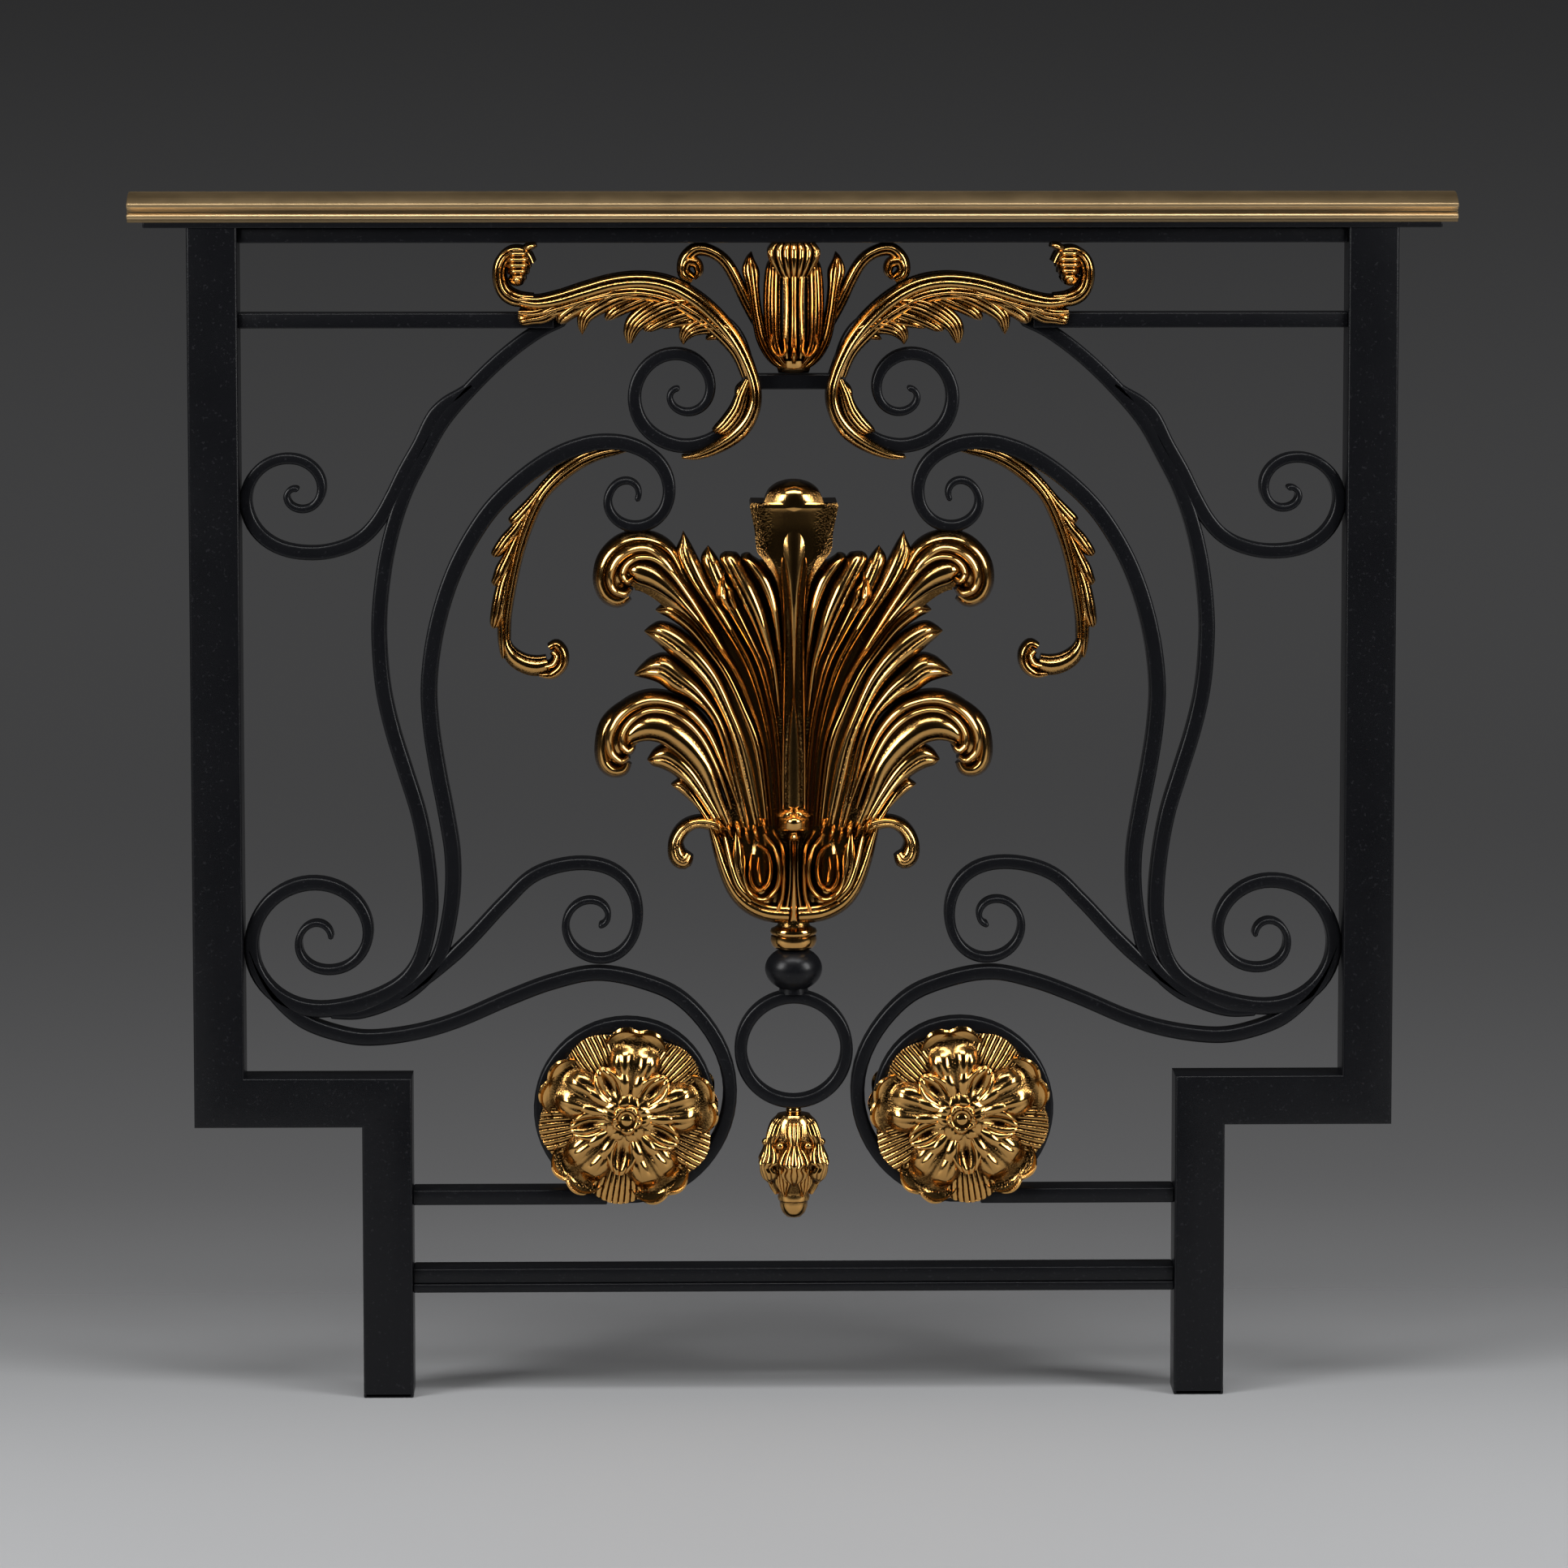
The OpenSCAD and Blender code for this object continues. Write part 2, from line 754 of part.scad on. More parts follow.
// Hanging leaf under the inner scroll, round all over.
module left_husk() {
  color("#c8963c")
    resize([0, 0, 0])
      difference() {
        union() {
          frond([[-124, 764, 3, 8], [-150, 763, 5, 10], [-176, 753, 6, 12], [-198, 730, 7, 12],
            [-216, 700, 8, 12], [-227, 670, 7, 11], [-232, 640, 6, 10], [-231, 612, 6, 9],
            [-221, 593, 7, 9], [-203, 585, 7, 9], [-188, 592, 7, 9], [-188, 604, 6, 9],
            [-197, 604, 4, 7]], full = true);
          for (s = [-1, 1]) {
            lobe([[-196, 728, 5, 4], [-212, 716, 5, 4], [-230, 707, 2, 2]], s * 7, full = true);
            lobe([[-212, 704, 5, 4], [-228, 690, 5, 4], [-242, 678, 2, 2]], s * 7, full = true);
            lobe([[-222, 680, 5, 4], [-234, 668, 4, 4], [-243, 656, 2, 2]], s * 7, full = true);
            lobe([[-228, 658, 5, 4], [-236, 638, 5, 4], [-244, 620, 2, 2]], s * 7, full = true);
            lobe([[-230, 630, 4, 4], [-236, 612, 4, 4], [-235, 595, 3, 3]], s * 6, full = true);
          }
        }
        stand(scroll_d + 20)
          inner_shape();
      }
}
module right_husk() {
  flip()
    left_husk();
}

// Leafed drop under the ring.
module drop_finial() {
  profile = [[8, 228], [13, 227], [18, 222], [20, 208], [22, 194], [21, 182], [17, 172],
    [13, 165], [12, 156], [9, 148], [3, 142]];
  leaf_y = -16;
  color("#c8963c")
    resize([0, 0, 0])
      union() {
        skin([for (q = profile) [for (a = [0 : 30 : 330])
          [q.x * cos(a), -q.x * sin(a), q.y * sz]]]);
        for (k = [0 : 5])
          rotate([0, 0, 60 * k])
            lobe([[0, 224, 5, 1], [0, 208, 11, 7], [0, 192, 14, 12], [0, 176, 13, 10]], leaf_y);
        for (k = [0 : 5])
          rotate([0, 0, 30 + 60 * k])
            lobe([[0, 210, 3, 2], [0, 190, 8, 7], [0, 172, 8, 5], [0, 164, 4, 1]], leaf_y);
      }
}
module finial_stem() {
  color("#c8963c")
    difference() {
      translate([0, 0, finial_z])
        cylinder(r = 6, h = ring_z - finial_z - (ring_r - 5) * sz);
      stand(3 * ball_r)
        ring_disc(hairline);
    }
}

// ---------- rosettes ----------
module radial(turn) {
  rotate([0, turn, 0])
    children();
}
// One rosette of 66 mm radius with its flat back at y = 0 and its centre on the origin.
module rosette_shape() {
  back_h = 5;
  fan_lift = 0.7;
  ruff_lift = 1.3;
  rotate([90, 0, 0])
    cylinder(r = 57, h = back_h, $fn = 30);
  for (k = [0 : 4]) {
    radial(72 * k + 8)
      pair()
        skin([for (q = [[14, 5, 9], [28, 7, 16], [44, 10, 18], [58, 12, 16], [68, 10, 12], [71, 5, 5]])
          [for (a = [180 : -60 : 0])
            [q[1] * 0.87 + q[1] * cos(a), -q[2] * sin(a), q[0]]]]);
    radial(72 * k + 44)
      skin([for (q = [[14, 6, 7], [30, 10, 12], [46, 17, 14], [60, 18, 12], [68, 12, 7]])
        [for (a = [180 : -45 : 0])
          [q[1] * cos(a), -fan_lift - q[2] * sin(a), q[0]]]]);
  }
  for (k = [0 : 4])
    radial(72 * k + 26)
      skin([for (q = [[10, 6, 12], [22, 9, 18], [34, 8, 19], [40, 3, 12]])
        [for (a = [180 : -60 : 0])
          [q[1] * cos(a), -ruff_lift - q[2] * sin(a), q[0]]]]);
}
module rosette_front() {
  color("#c8963c")
    resize([0, 0, 0])
      difference() {
        translate([-boss_x, front_y, boss_z])
          scale([rosette_r / 66, 1, rosette_r / 66])
            union()
              rosette_shape();
        translate([-boss_x, 0, boss_z])
          rotate([90, 0, 0])
            cylinder(d = boss_bore, h = 60, $fn = 24);
      }
}
module left_rosette_front() {
  rosette_front();
}
module right_rosette_front() {
  flip()
    rosette_front();
}
module left_rosette_back() {
  to_back()
    rosette_front();
}
module right_rosette_back() {
  flip()
    to_back()
      rosette_front();
}

// Turned bud that closes the middle of a rosette, and the stud it screws on to.
module bud() {
  seat = front_y - 5;
  k = rosette_r / 66;
  color("#c8963c")
    difference() {
      translate([-boss_x, seat, boss_z])
        rotate([90, 0, 0])
          rotate_extrude() {
            square([8.5 * k, 13.5]);
            translate([0, 13.5])
              square([13 * k, 5]);
            translate([13 * k, 16])
              circle(r = 2.5);
            translate([0, 18])
              square([8 * k, 4]);
            translate([8 * k, 20])
              circle(r = 2);
          }
      stud_pair();
    }
}
module rosette_buds() {
  pair() {
    bud();
    to_back()
      bud();
  }
}
stud_l = scroll_d + 24;
module stud_pair() {
  pair()
    translate([-boss_x, stud_l / 2, boss_z])
      rotate([90, 0, 0])
        cylinder(d = boss_bore, h = stud_l);
}
module rosette_studs() {
  color("#8a8c90")
    stud_pair();
}

handrail();
rail_plate();
rail_screws();
top_bar();
left_post();
right_post();
left_step();
right_step();
left_leg();
right_leg();
foot_caps();
left_upper_bar();
right_upper_bar();
centre_tie();
left_lower_bar();
right_lower_bar();
bottom_bar();
bottom_flat();
left_shoulder_scroll();
right_shoulder_scroll();
left_post_scroll();
right_post_scroll();
left_inner_scroll();
right_inner_scroll();
left_crown_scroll();
right_crown_scroll();
left_branch_scroll();
right_branch_scroll();
left_base_scroll();
right_base_scroll();
left_boss();
right_boss();
centre_ring();
ball();
palmette_collar();
palmette_front();
palmette_back();
palmette_pins();
cartouche_front();
cartouche_back();
left_spray_front();
right_spray_front();
left_spray_back();
right_spray_back();
left_husk();
right_husk();
drop_finial();
finial_stem();
left_rosette_front();
right_rosette_front();
left_rosette_back();
right_rosette_back();
rosette_buds();
rosette_studs();
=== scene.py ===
import math

import bmesh
import bpy
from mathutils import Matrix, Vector


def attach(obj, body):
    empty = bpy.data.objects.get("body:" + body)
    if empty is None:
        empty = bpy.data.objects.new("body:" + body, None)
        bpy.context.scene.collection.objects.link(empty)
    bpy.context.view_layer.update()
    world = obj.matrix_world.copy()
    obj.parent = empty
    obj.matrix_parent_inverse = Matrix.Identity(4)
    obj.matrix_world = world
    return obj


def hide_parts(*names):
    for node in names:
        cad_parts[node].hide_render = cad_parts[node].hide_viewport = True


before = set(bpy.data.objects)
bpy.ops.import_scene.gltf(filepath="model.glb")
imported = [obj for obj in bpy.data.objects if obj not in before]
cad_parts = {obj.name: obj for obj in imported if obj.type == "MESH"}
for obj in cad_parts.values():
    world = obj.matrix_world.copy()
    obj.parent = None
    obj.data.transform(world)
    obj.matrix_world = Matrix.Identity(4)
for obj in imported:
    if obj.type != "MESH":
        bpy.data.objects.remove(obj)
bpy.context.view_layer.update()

bl_info = {
    "name": "Wrought Iron Screen Panel",
    "version": (1, 0, 0),
    "blender": (4, 5, 0),
    "location": "3D View > Sidebar > Iron Panel",
    "description": "Builds a scrolled iron panel with cast brass leaves and a brass handrail",
    "category": "Add Mesh",
}

# Shapes are drawn in millimetres, front view, left half: x is negative and z is up.
MM = 0.001
BODY = "root"
SIDES = ("left", "right")
FACES = ("front", "back")
IRON_FACE = 10
TUBE = 40
HALF_TUBE = TUBE / 2
POST_X = 460
LEG_X = 326
POST_INNER = POST_X - HALF_TUBE
LEG_INNER = LEG_X - HALF_TUBE
STEP_MID = 240
PLATE_Z = 939.5
BOSS_X, BOSS_Z = 134, 228
ROSETTE_AT = (-BOSS_X, -IRON_FACE, BOSS_Z)

# The stage is in metres and degrees. A softbox is its name, place, aim, width, height and power.
SOFTBOXES = (
    ("left_softbox", (-2.3, -1.5, 1.7), (0, 0, 0.6), 1.1, 1.7, 62),
    ("right_softbox", (2.3, -1.4, 1.6), (0, 0, 0.6), 1.0, 1.7, 58),
    ("top_softbox", (0, -1.0, 2.7), (0, 0.1, 0.3), 2.4, 0.5, 32),
)
FLOOR_HALF = 9
FADE_BEHIND = (-0.5, 1.1)
FADE_IN_FRONT = (-0.8, -1.6)
CAMERA_X, CAMERA_Z = -0.089, 1.121
CAMERA_DOWN, CAMERA_TURN = 5.675, -1.148
LENS, SENSOR = 144.5, 36
SHIFT_X, SHIFT_Y = -0.015, -0.103
CLIP_END = 60


# ---------------------------------------------------------------- curves

def blend(a, b, c, d, t):
    """Point between b and c on a smooth curve whose neighbours are a and d."""
    return tuple(
        0.5 * (2 * q + (r - p) * t + (2 * p - 5 * q + 4 * r - s) * t * t + (3 * q - p - 3 * r + s) * t ** 3)
        for p, q, r, s in zip(a, b, c, d))


def smooth(stations, steps):
    """Smooth run of points through the stations, with this many steps to each gap."""
    last = len(stations) - 1
    run = [blend(stations[max(i - 1, 0)], stations[i], stations[i + 1], stations[min(i + 2, last)], k / steps)
           for i in range(last) for k in range(steps)]
    return run + [tuple(stations[last])]


def coil(centre, start, radii, steps=14):
    """Coil that winds clockwise about a centre; one radius for each quarter turn."""
    run = []
    for r in smooth([(r,) for r in radii], steps):
        a = math.radians(start - 90 * len(run) / steps)
        run.append((centre[0] + r[0] * math.cos(a), centre[1] + r[0] * math.sin(a)))
    return run


def stem_and_coil(stem, winding, steps=8):
    """Stem stations joined to a coil as one centre line, eased for some points to each side of the join."""
    reach, passes = 14, 14
    joined = smooth(list(stem) + [winding[0], winding[7]], steps)
    line = joined[:-1 - steps] + winding
    meet = len(joined) - 1 - steps
    for _ in range(passes):
        eased = list(line)
        for i in range(max(meet - reach + 1, 1), min(meet + reach, len(line) - 1)):
            share = 0.5 * (1 - abs(i - meet) / reach)
            eased[i] = tuple(q * (1 - share) + (p + n) / 2 * share
                             for p, q, n in zip(line[i - 1], line[i], line[i + 1]))
        line = eased
    return line


def lookup(keys, t):
    """Value at t on a line through (place, value) keys."""
    for (a, u), (b, v) in zip(keys, keys[1:]):
        if t <= b:
            return u + (v - u) * (t - a) / max(b - a, 1e-9)
    return keys[-1][1]


def run_lengths(line):
    """Length along a line up to each of its points."""
    total, out = 0, [0]
    for p, q in zip(line, line[1:]):
        total += math.dist(p[:2], q[:2])
        out.append(total)
    return out


def normals(line):
    """Unit normals to the left of a line in the front view."""
    out = []
    for i in range(len(line)):
        p, q = line[max(i - 1, 0)], line[min(i + 1, len(line) - 1)]
        dx, dz = q[0] - p[0], q[1] - p[1]
        size = max(math.hypot(dx, dz), 1e-9)
        out.append((-dz / size, dx / size))
    return out


# ---------------------------------------------------------------- meshes

def skin(bm, rings, hollow=None, grain=None, caps="point"):
    """Lays a grid over rings of points. Each ring's last point repeats its first, and the seam is welded.

    The third argument gives each point's darkness in the recesses, partly patina and partly painted shade, and grain
    its place across and along a leaf in metres."""
    if caps == "point":
        ends = []
        for ring in (rings[0], rings[-1]):
            middle = tuple(sum(p[i] for p in ring[:-1]) / (len(ring) - 1) for i in range(3))
            ends.append([middle] * len(ring))
        rings = [ends[0]] + rings + [ends[1]]
        hollow = hollow and [hollow[0]] + hollow + [hollow[-1]]
        grain = grain and [grain[0]] + grain + [grain[-1]]
    rows, cols = len(rings), len(rings[0])
    # Layer of recess darkness: real patina together with painted shade.
    shade = bm.verts.layers.float.get("hollow") or bm.verts.layers.float.new("hollow")
    uv = bm.loops.layers.uv.get("grain") or bm.loops.layers.uv.new("grain")
    made = bmesh.ops.create_grid(bm, x_segments=cols - 1, y_segments=rows - 1, size=1)["verts"]
    place = {v: (round((v.co.y + 1) / 2 * (rows - 1)), round((v.co.x + 1) / 2 * (cols - 1))) for v in made}
    for face in {f for v in made for f in v.link_faces}:
        for loop in face.loops:
            r, c = place[loop.vert]
            loop[uv].uv = grain[r][c] if grain else (c / cols, r / rows)
    for v, (r, c) in place.items():
        v.co = Vector(rings[r][c]) * MM
        v[shade] = hollow[r][c] if hollow else 0
    bmesh.ops.remove_doubles(bm, verts=made, dist=1e-6)
    if caps == "flat":
        rim = [e for v in made if v.is_valid for e in v.link_edges if e.is_boundary]
        bmesh.ops.holes_fill(bm, edges=list(set(rim)), sides=0)


def mirror_x(bm):
    """Adds the mirror image of everything made so far."""
    copy = bmesh.ops.duplicate(bm, geom=bm.verts[:] + bm.edges[:] + bm.faces[:])["geom"]
    bmesh.ops.scale(bm, vec=(-1, 1, 1), verts=[g for g in copy if isinstance(g, bmesh.types.BMVert)])
    bmesh.ops.reverse_faces(bm, faces=[g for g in copy if isinstance(g, bmesh.types.BMFace)])


def flip(bm, axis):
    """Turns the whole mesh into its mirror image across one axis."""
    bmesh.ops.scale(bm, vec=tuple(-1 if i == axis else 1 for i in range(3)), verts=bm.verts)
    bmesh.ops.reverse_faces(bm, faces=bm.faces)


def piece(name, bm, paint_name, stands_for=(), sharp=40):
    """Turns a bmesh into a finished object that rides on the panel."""
    bmesh.ops.recalc_face_normals(bm, faces=bm.faces)
    mesh = bpy.data.meshes.new(name)
    bm.to_mesh(mesh)
    bm.free()
    mesh.shade_smooth()
    mesh.set_sharp_from_angle(angle=math.radians(sharp))
    mesh.materials.append(paint(paint_name))
    obj = bpy.data.objects.new(name, mesh)
    bpy.context.scene.collection.objects.link(obj)
    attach(obj, BODY)
    if stands_for:
        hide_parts(*stands_for)
    return obj


# ---------------------------------------------------------------- materials

class Wire:
    """An output socket that takes part in sums, so that shader maths reads as an expression."""

    def __init__(self, recipe, socket):
        self.recipe, self.socket = recipe, socket

    def sum_with(self, operation, a, b=0.0):
        return self.recipe.node("ShaderNodeMath", {"operation": operation}, {0: a, 1: b})

    def __add__(self, other):
        return self.sum_with("ADD", self, other)

    __radd__ = __add__

    def __mul__(self, other):
        return self.sum_with("MULTIPLY", self, other)

    __rmul__ = __mul__

    def __sub__(self, other):
        return self.sum_with("SUBTRACT", self, other)

    def __rsub__(self, other):
        return self.sum_with("SUBTRACT", other, self)

    def __pow__(self, other):
        return self.sum_with("POWER", self, other)

    def sin(self):
        return self.sum_with("SINE", self)

    def clip(self):
        return self.recipe.node("ShaderNodeClamp", {}, {"Value": self})


class Recipe:
    """The nodes of one material, or of the world."""

    def __init__(self, name, owner=None):
        self.material = owner or bpy.data.materials.new(name)
        self.material.use_nodes = True
        self.tree = self.material.node_tree
        self.tree.nodes.clear()

    def node(self, kind, settings=None, values=None, output=0):
        made = self.tree.nodes.new(kind)
        for key, value in (settings or {}).items():
            if key == "stops":
                ramp = made.color_ramp
                while len(ramp.elements) < len(value):
                    ramp.elements.new(0.5)
                for element, (spot, colour) in zip(ramp.elements, value):
                    element.position = spot
                    element.color = colour
            else:
                setattr(made, key, value)
        for key, value in (values or {}).items():
            if isinstance(value, Wire):
                self.tree.links.new(value.socket, made.inputs[key])
            else:
                made.inputs[key].default_value = value
        return None if output is None else Wire(self, made.outputs[output])

    def place(self):
        return self.node("ShaderNodeTexCoord", output="Object")

    def noise(self, scale, detail=3.0, rough=0.5, at=None):
        return self.node("ShaderNodeTexNoise", {}, {
            "Vector": at or self.place(), "Scale": scale, "Detail": detail, "Roughness": rough})

    def stretch(self, scale):
        return self.node("ShaderNodeMapping", {}, {"Vector": self.place(), "Scale": scale})

    def ramp(self, value, low, high):
        """Grey step that rises from black at low to white at high."""
        stops = ((low, (0, 0, 0, 1)), (high, (1, 1, 1, 1)))
        return self.node("ShaderNodeValToRGB", {"stops": stops}, {"Fac": value})

    def mix(self, factor, a, b):
        return self.node("ShaderNodeMix", {"data_type": "RGBA"}, {0: factor, 6: a, 7: b}, output=2)

    def fade(self, value, low, high):
        """Soft step from 0 at low to 1 at high; the ends may stand in either order."""
        return self.node("ShaderNodeMapRange", {"interpolation_type": "SMOOTHERSTEP"}, {
            "Value": value, "From Min": low, "From Max": high})

    def bump(self, height, distance, strength=1.0, under=None):
        values = {"Height": height, "Distance": distance, "Strength": strength}
        if under is not None:
            values["Normal"] = under
        return self.node("ShaderNodeBump", {}, values)

    def surface(self, values):
        shader = self.node("ShaderNodeBsdfPrincipled", {}, values)
        return self.finish(shader)

    def finish(self, shader):
        self.node("ShaderNodeOutputMaterial", {}, {"Surface": shader}, output=None)
        return self.material


def shade(colour, share=1.0):
    """A colour made lighter or darker, as the shader nodes want it."""
    return (colour[0] * share, colour[1] * share, colour[2] * share, 1.0)


def iron_paint(tone):
    """Satin black paint over forged iron: a faint orange peel, hammer flats and rubbed patches."""
    r = Recipe("iron_paint_finish")
    peel = r.noise(900.0, 2.0)
    forge = r.noise(38.0, 3.0, 0.55)
    dust = r.noise(14.0, 4.0, 0.6)
    specks = r.ramp(r.noise(420.0, 1.0), 0.66, 0.74)
    colour = r.mix(dust * 0.55, shade(tone), shade(tone, 1.7))
    colour = r.mix(specks * 0.10, colour, (0.09, 0.09, 0.10, 1.0))
    rough = 0.22 + dust * 0.14 + peel * 0.05
    relief = r.bump(forge, 0.0010, 0.35)
    relief = r.bump(peel, 0.00008, 0.5, relief)
    return r.surface({
        "Base Color": colour, "Roughness": rough, "Normal": relief,
        "Specular IOR Level": 0.22, "Coat Weight": 0.04, "Coat Roughness": 0.25})


def rail_brass(tone):
    """Lacquered brass moulding: fine drawn lines along its length, a soft cloudy lacquer, and painted shade in its
    grooves and along its underside.
    """
    r = Recipe("rail_brass_finish")
    drawn = r.noise(1.0, 2.0, 0.6, r.stretch((3.0, 900.0, 900.0)))
    cloud = r.noise(22.0, 4.0, 0.6)
    colour = r.mix(cloud, shade(tone, 0.82), shade(tone, 1.12))
    colour = r.mix(drawn * 0.35, colour, shade(tone, 0.7))
    # Painted shade: the rail's grooves and underside are darkened to a fifth of its tone.
    depth = r.node("ShaderNodeAttribute", {"attribute_name": "hollow"}, output="Fac")
    colour = r.mix(r.ramp(depth + cloud * 0.1, 0.3, 0.9) * 0.8, colour, shade(tone, 0.2))
    rough = 0.32 + cloud * 0.12 + drawn * 0.06
    relief = r.bump(drawn, 0.00005, 0.5)
    return r.surface({"Base Color": colour, "Roughness": rough, "Metallic": 1.0, "Normal": relief})


def cast_brass(tone, patina):
    """Polished cast brass: chased lines along the leaves, and dark patina together with painted shade held in the
    recesses.
    """
    r = Recipe("cast_brass_finish")
    grain = r.node("ShaderNodeUVMap", {"uv_map": "grain"})
    across = r.node("ShaderNodeSeparateXYZ", {}, {0: grain})
    wander = r.noise(60.0, 2.0)
    lines = ((across * 3200.0 + wander * 5.0).sin() * 0.5 + 0.5) ** 2.0
    cast = r.noise(240.0, 3.0, 0.6)
    cloud = r.noise(30.0, 3.0, 0.55)
    depth = r.node("ShaderNodeAttribute", {"attribute_name": "hollow"}, output="Fac")
    beads = r.ramp(r.noise(700.0, 1.0), 0.45, 0.62)
    # Recess darkness, partly patina and partly painted shade, broken up by noise.
    shade_and_patina_level = (depth * 1.2 + (cast - 0.5) * 0.4 + (cloud - 0.5) * 0.35).clip()
    held = r.ramp(shade_and_patina_level, 0.42, 0.95)
    colour = r.mix(cloud, shade(tone, 0.84), shade(tone))
    # The recesses are painted in the patina colour, which also stands for painted shade there.
    colour = r.mix(held * 0.9, colour, shade(patina))
    colour = r.mix(held * beads * 0.22, colour, shade(tone, 0.9))
    rough = 0.13 + depth * 0.08 + (cloud - 0.5) * 0.06
    relief = r.bump(lines, 0.00006, 0.25)
    relief = r.bump(cast, 0.00012, 0.25, relief)
    relief = r.bump(beads * held, 0.0004, 0.4, relief)
    return r.surface({"Base Color": colour, "Roughness": rough, "Metallic": 1.0, "Normal": relief})


def fixing_steel(tone):
    """Zinc-grey fixing with a cloudy plated skin."""
    r = Recipe("fixing_steel_finish")
    cloud = r.noise(200.0, 3.0)
    colour = r.mix(cloud, shade(tone, 0.7), shade(tone))
    relief = r.bump(cloud, 0.0001, 0.3)
    return r.surface({"Base Color": colour, "Roughness": 0.35 + cloud * 0.15, "Metallic": 1.0, "Normal": relief})


def pale_floor(tone):
    """Pale studio floor that fades out into the backdrop, both behind the panel and in front of it."""
    r = Recipe("pale_floor")
    depth = r.node("ShaderNodeSeparateXYZ", {}, {0: r.place()}, output="Y")
    gone = r.fade(depth, *FADE_BEHIND) + r.fade(depth, *FADE_IN_FRONT)
    mottle = r.noise(2.5, 3.0)
    matt = r.node("ShaderNodeBsdfPrincipled", {}, {
        "Base Color": r.mix(mottle, shade(tone, 0.96), shade(tone)),
        "Roughness": 0.55, "Specular IOR Level": 0.25})
    clear = r.node("ShaderNodeBsdfTransparent")
    return r.finish(r.node("ShaderNodeMixShader", {}, {0: gone, 1: matt, 2: clear}))


# ---------------------------------------------------------------- settings

class IronSettings(bpy.types.PropertyGroup):
    """Sizes and colour of the painted iron."""
    tone: bpy.props.FloatVectorProperty(
        name="Iron paint", description="Colour of the black paint", subtype="COLOR", size=3,
        default=(0.0042, 0.0044, 0.0054), min=0, max=1)
    thickness: bpy.props.FloatProperty(
        name="Scroll thickness", description="Thickness of a scroll bar seen from the front",
        default=0.0125, unit="LENGTH")
    depth: bpy.props.FloatProperty(
        name="Scroll depth", description="Depth of a scroll bar, front to back",
        default=0.020, unit="LENGTH")
    corner: bpy.props.FloatProperty(
        name="Corner radius", description="Rounding of the forged corners",
        default=0.0026, unit="LENGTH")
    bar_edge: bpy.props.FloatProperty(
        name="Bar edge", description="Width of the softened edges of the flat bars",
        default=0.0012, unit="LENGTH")
    tube_corner: bpy.props.FloatProperty(
        name="Tube corner", description="Corner radius of the square tube",
        default=0.0022, unit="LENGTH")


class BrassSettings(bpy.types.PropertyGroup):
    """Colours of the brass."""
    tone: bpy.props.FloatVectorProperty(
        name="Cast brass", description="Colour of the polished castings", subtype="COLOR", size=3,
        default=(0.72, 0.40, 0.125), min=0, max=1)
    # The patina colour also paints the shade in the recesses.
    patina: bpy.props.FloatVectorProperty(
        name="Patina", description="Colour of the dark recesses", subtype="COLOR", size=3,
        default=(0.040, 0.018, 0.005), min=0, max=1)
    rail: bpy.props.FloatVectorProperty(
        name="Handrail", description="Colour of the lacquered handrail", subtype="COLOR", size=3,
        default=(0.66, 0.47, 0.25), min=0, max=1)


class StageSettings(bpy.types.PropertyGroup):
    """Floor, light and camera."""
    distance: bpy.props.FloatProperty(
        name="Camera distance", description="Camera to panel", default=5.0, unit="LENGTH")
    backdrop: bpy.props.FloatVectorProperty(
        name="Backdrop", description="Colour of the backdrop behind the panel", subtype="COLOR", size=3,
        default=(0.052, 0.052, 0.053), min=0, max=1)
    floor: bpy.props.FloatVectorProperty(
        name="Floor", description="Colour of the pale floor", subtype="COLOR", size=3,
        default=(0.47, 0.475, 0.485), min=0, max=1)


SETTINGS = (("panel_iron", IronSettings), ("panel_brass", BrassSettings), ("panel_stage", StageSettings))


def iron():
    return bpy.context.scene.panel_iron


def brass():
    return bpy.context.scene.panel_brass


def paint(name):
    """The named material, made the first time that it is asked for."""
    made = bpy.data.materials.get(name + "_finish")
    makers = {
        "iron_paint": lambda: iron_paint(iron().tone),
        "rail_brass": lambda: rail_brass(brass().rail),
        "cast_brass": lambda: cast_brass(brass().tone, brass().patina),
        "fixing_steel": lambda: fixing_steel((0.42, 0.42, 0.43)),
    }
    return made or makers[name]()


# ---------------------------------------------------------------- forged iron

def rounded_box(half_w, half_d, corner, steps=4):
    """Outline of a bar's section as (across, depth) points, closed on its first point."""
    corner = min(corner, half_w * 0.9, half_d * 0.9)
    points = []
    for quarter, (sx, sy) in enumerate(((1, 1), (-1, 1), (-1, -1), (1, -1))):
        for k in range(steps + 1):
            a = math.radians(90 * quarter + 90 * k / steps)
            points.append((sx * (half_w - corner) + corner * math.cos(a),
                           sy * (half_d - corner) + corner * math.sin(a)))
        if quarter in (0, 2):
            points.append((0.0, sy * half_d))
        else:
            points.append((sx * half_w, 0.0))
    return points + [points[0]]


def forge(bm, line, ends):
    """Sweeps a bar along a centre line. ends holds (share of length, share of width), and the tips are rounded."""
    half, deep, corner = (v / MM for v in (iron().thickness / 2, iron().depth / 2, iron().corner))
    lengths, sides = run_lengths(line), normals(line)
    total = lengths[-1]
    rings = []
    for i, at in enumerate(line):
        w = half * lookup(ends, lengths[i] / total)
        d = deep
        reach = min(lengths[i], total - lengths[i])
        if reach < w:
            pull = max(math.sqrt(max(1 - (1 - reach / w) ** 2, 0)), 0.12)
            w, d = w * pull, deep - (1 - pull) * w
        rings.append([(at[0] + sides[i][0] * u, v, at[1] + sides[i][1] * u)
                      for u, v in rounded_box(w, d, corner)])
    skin(bm, rings)


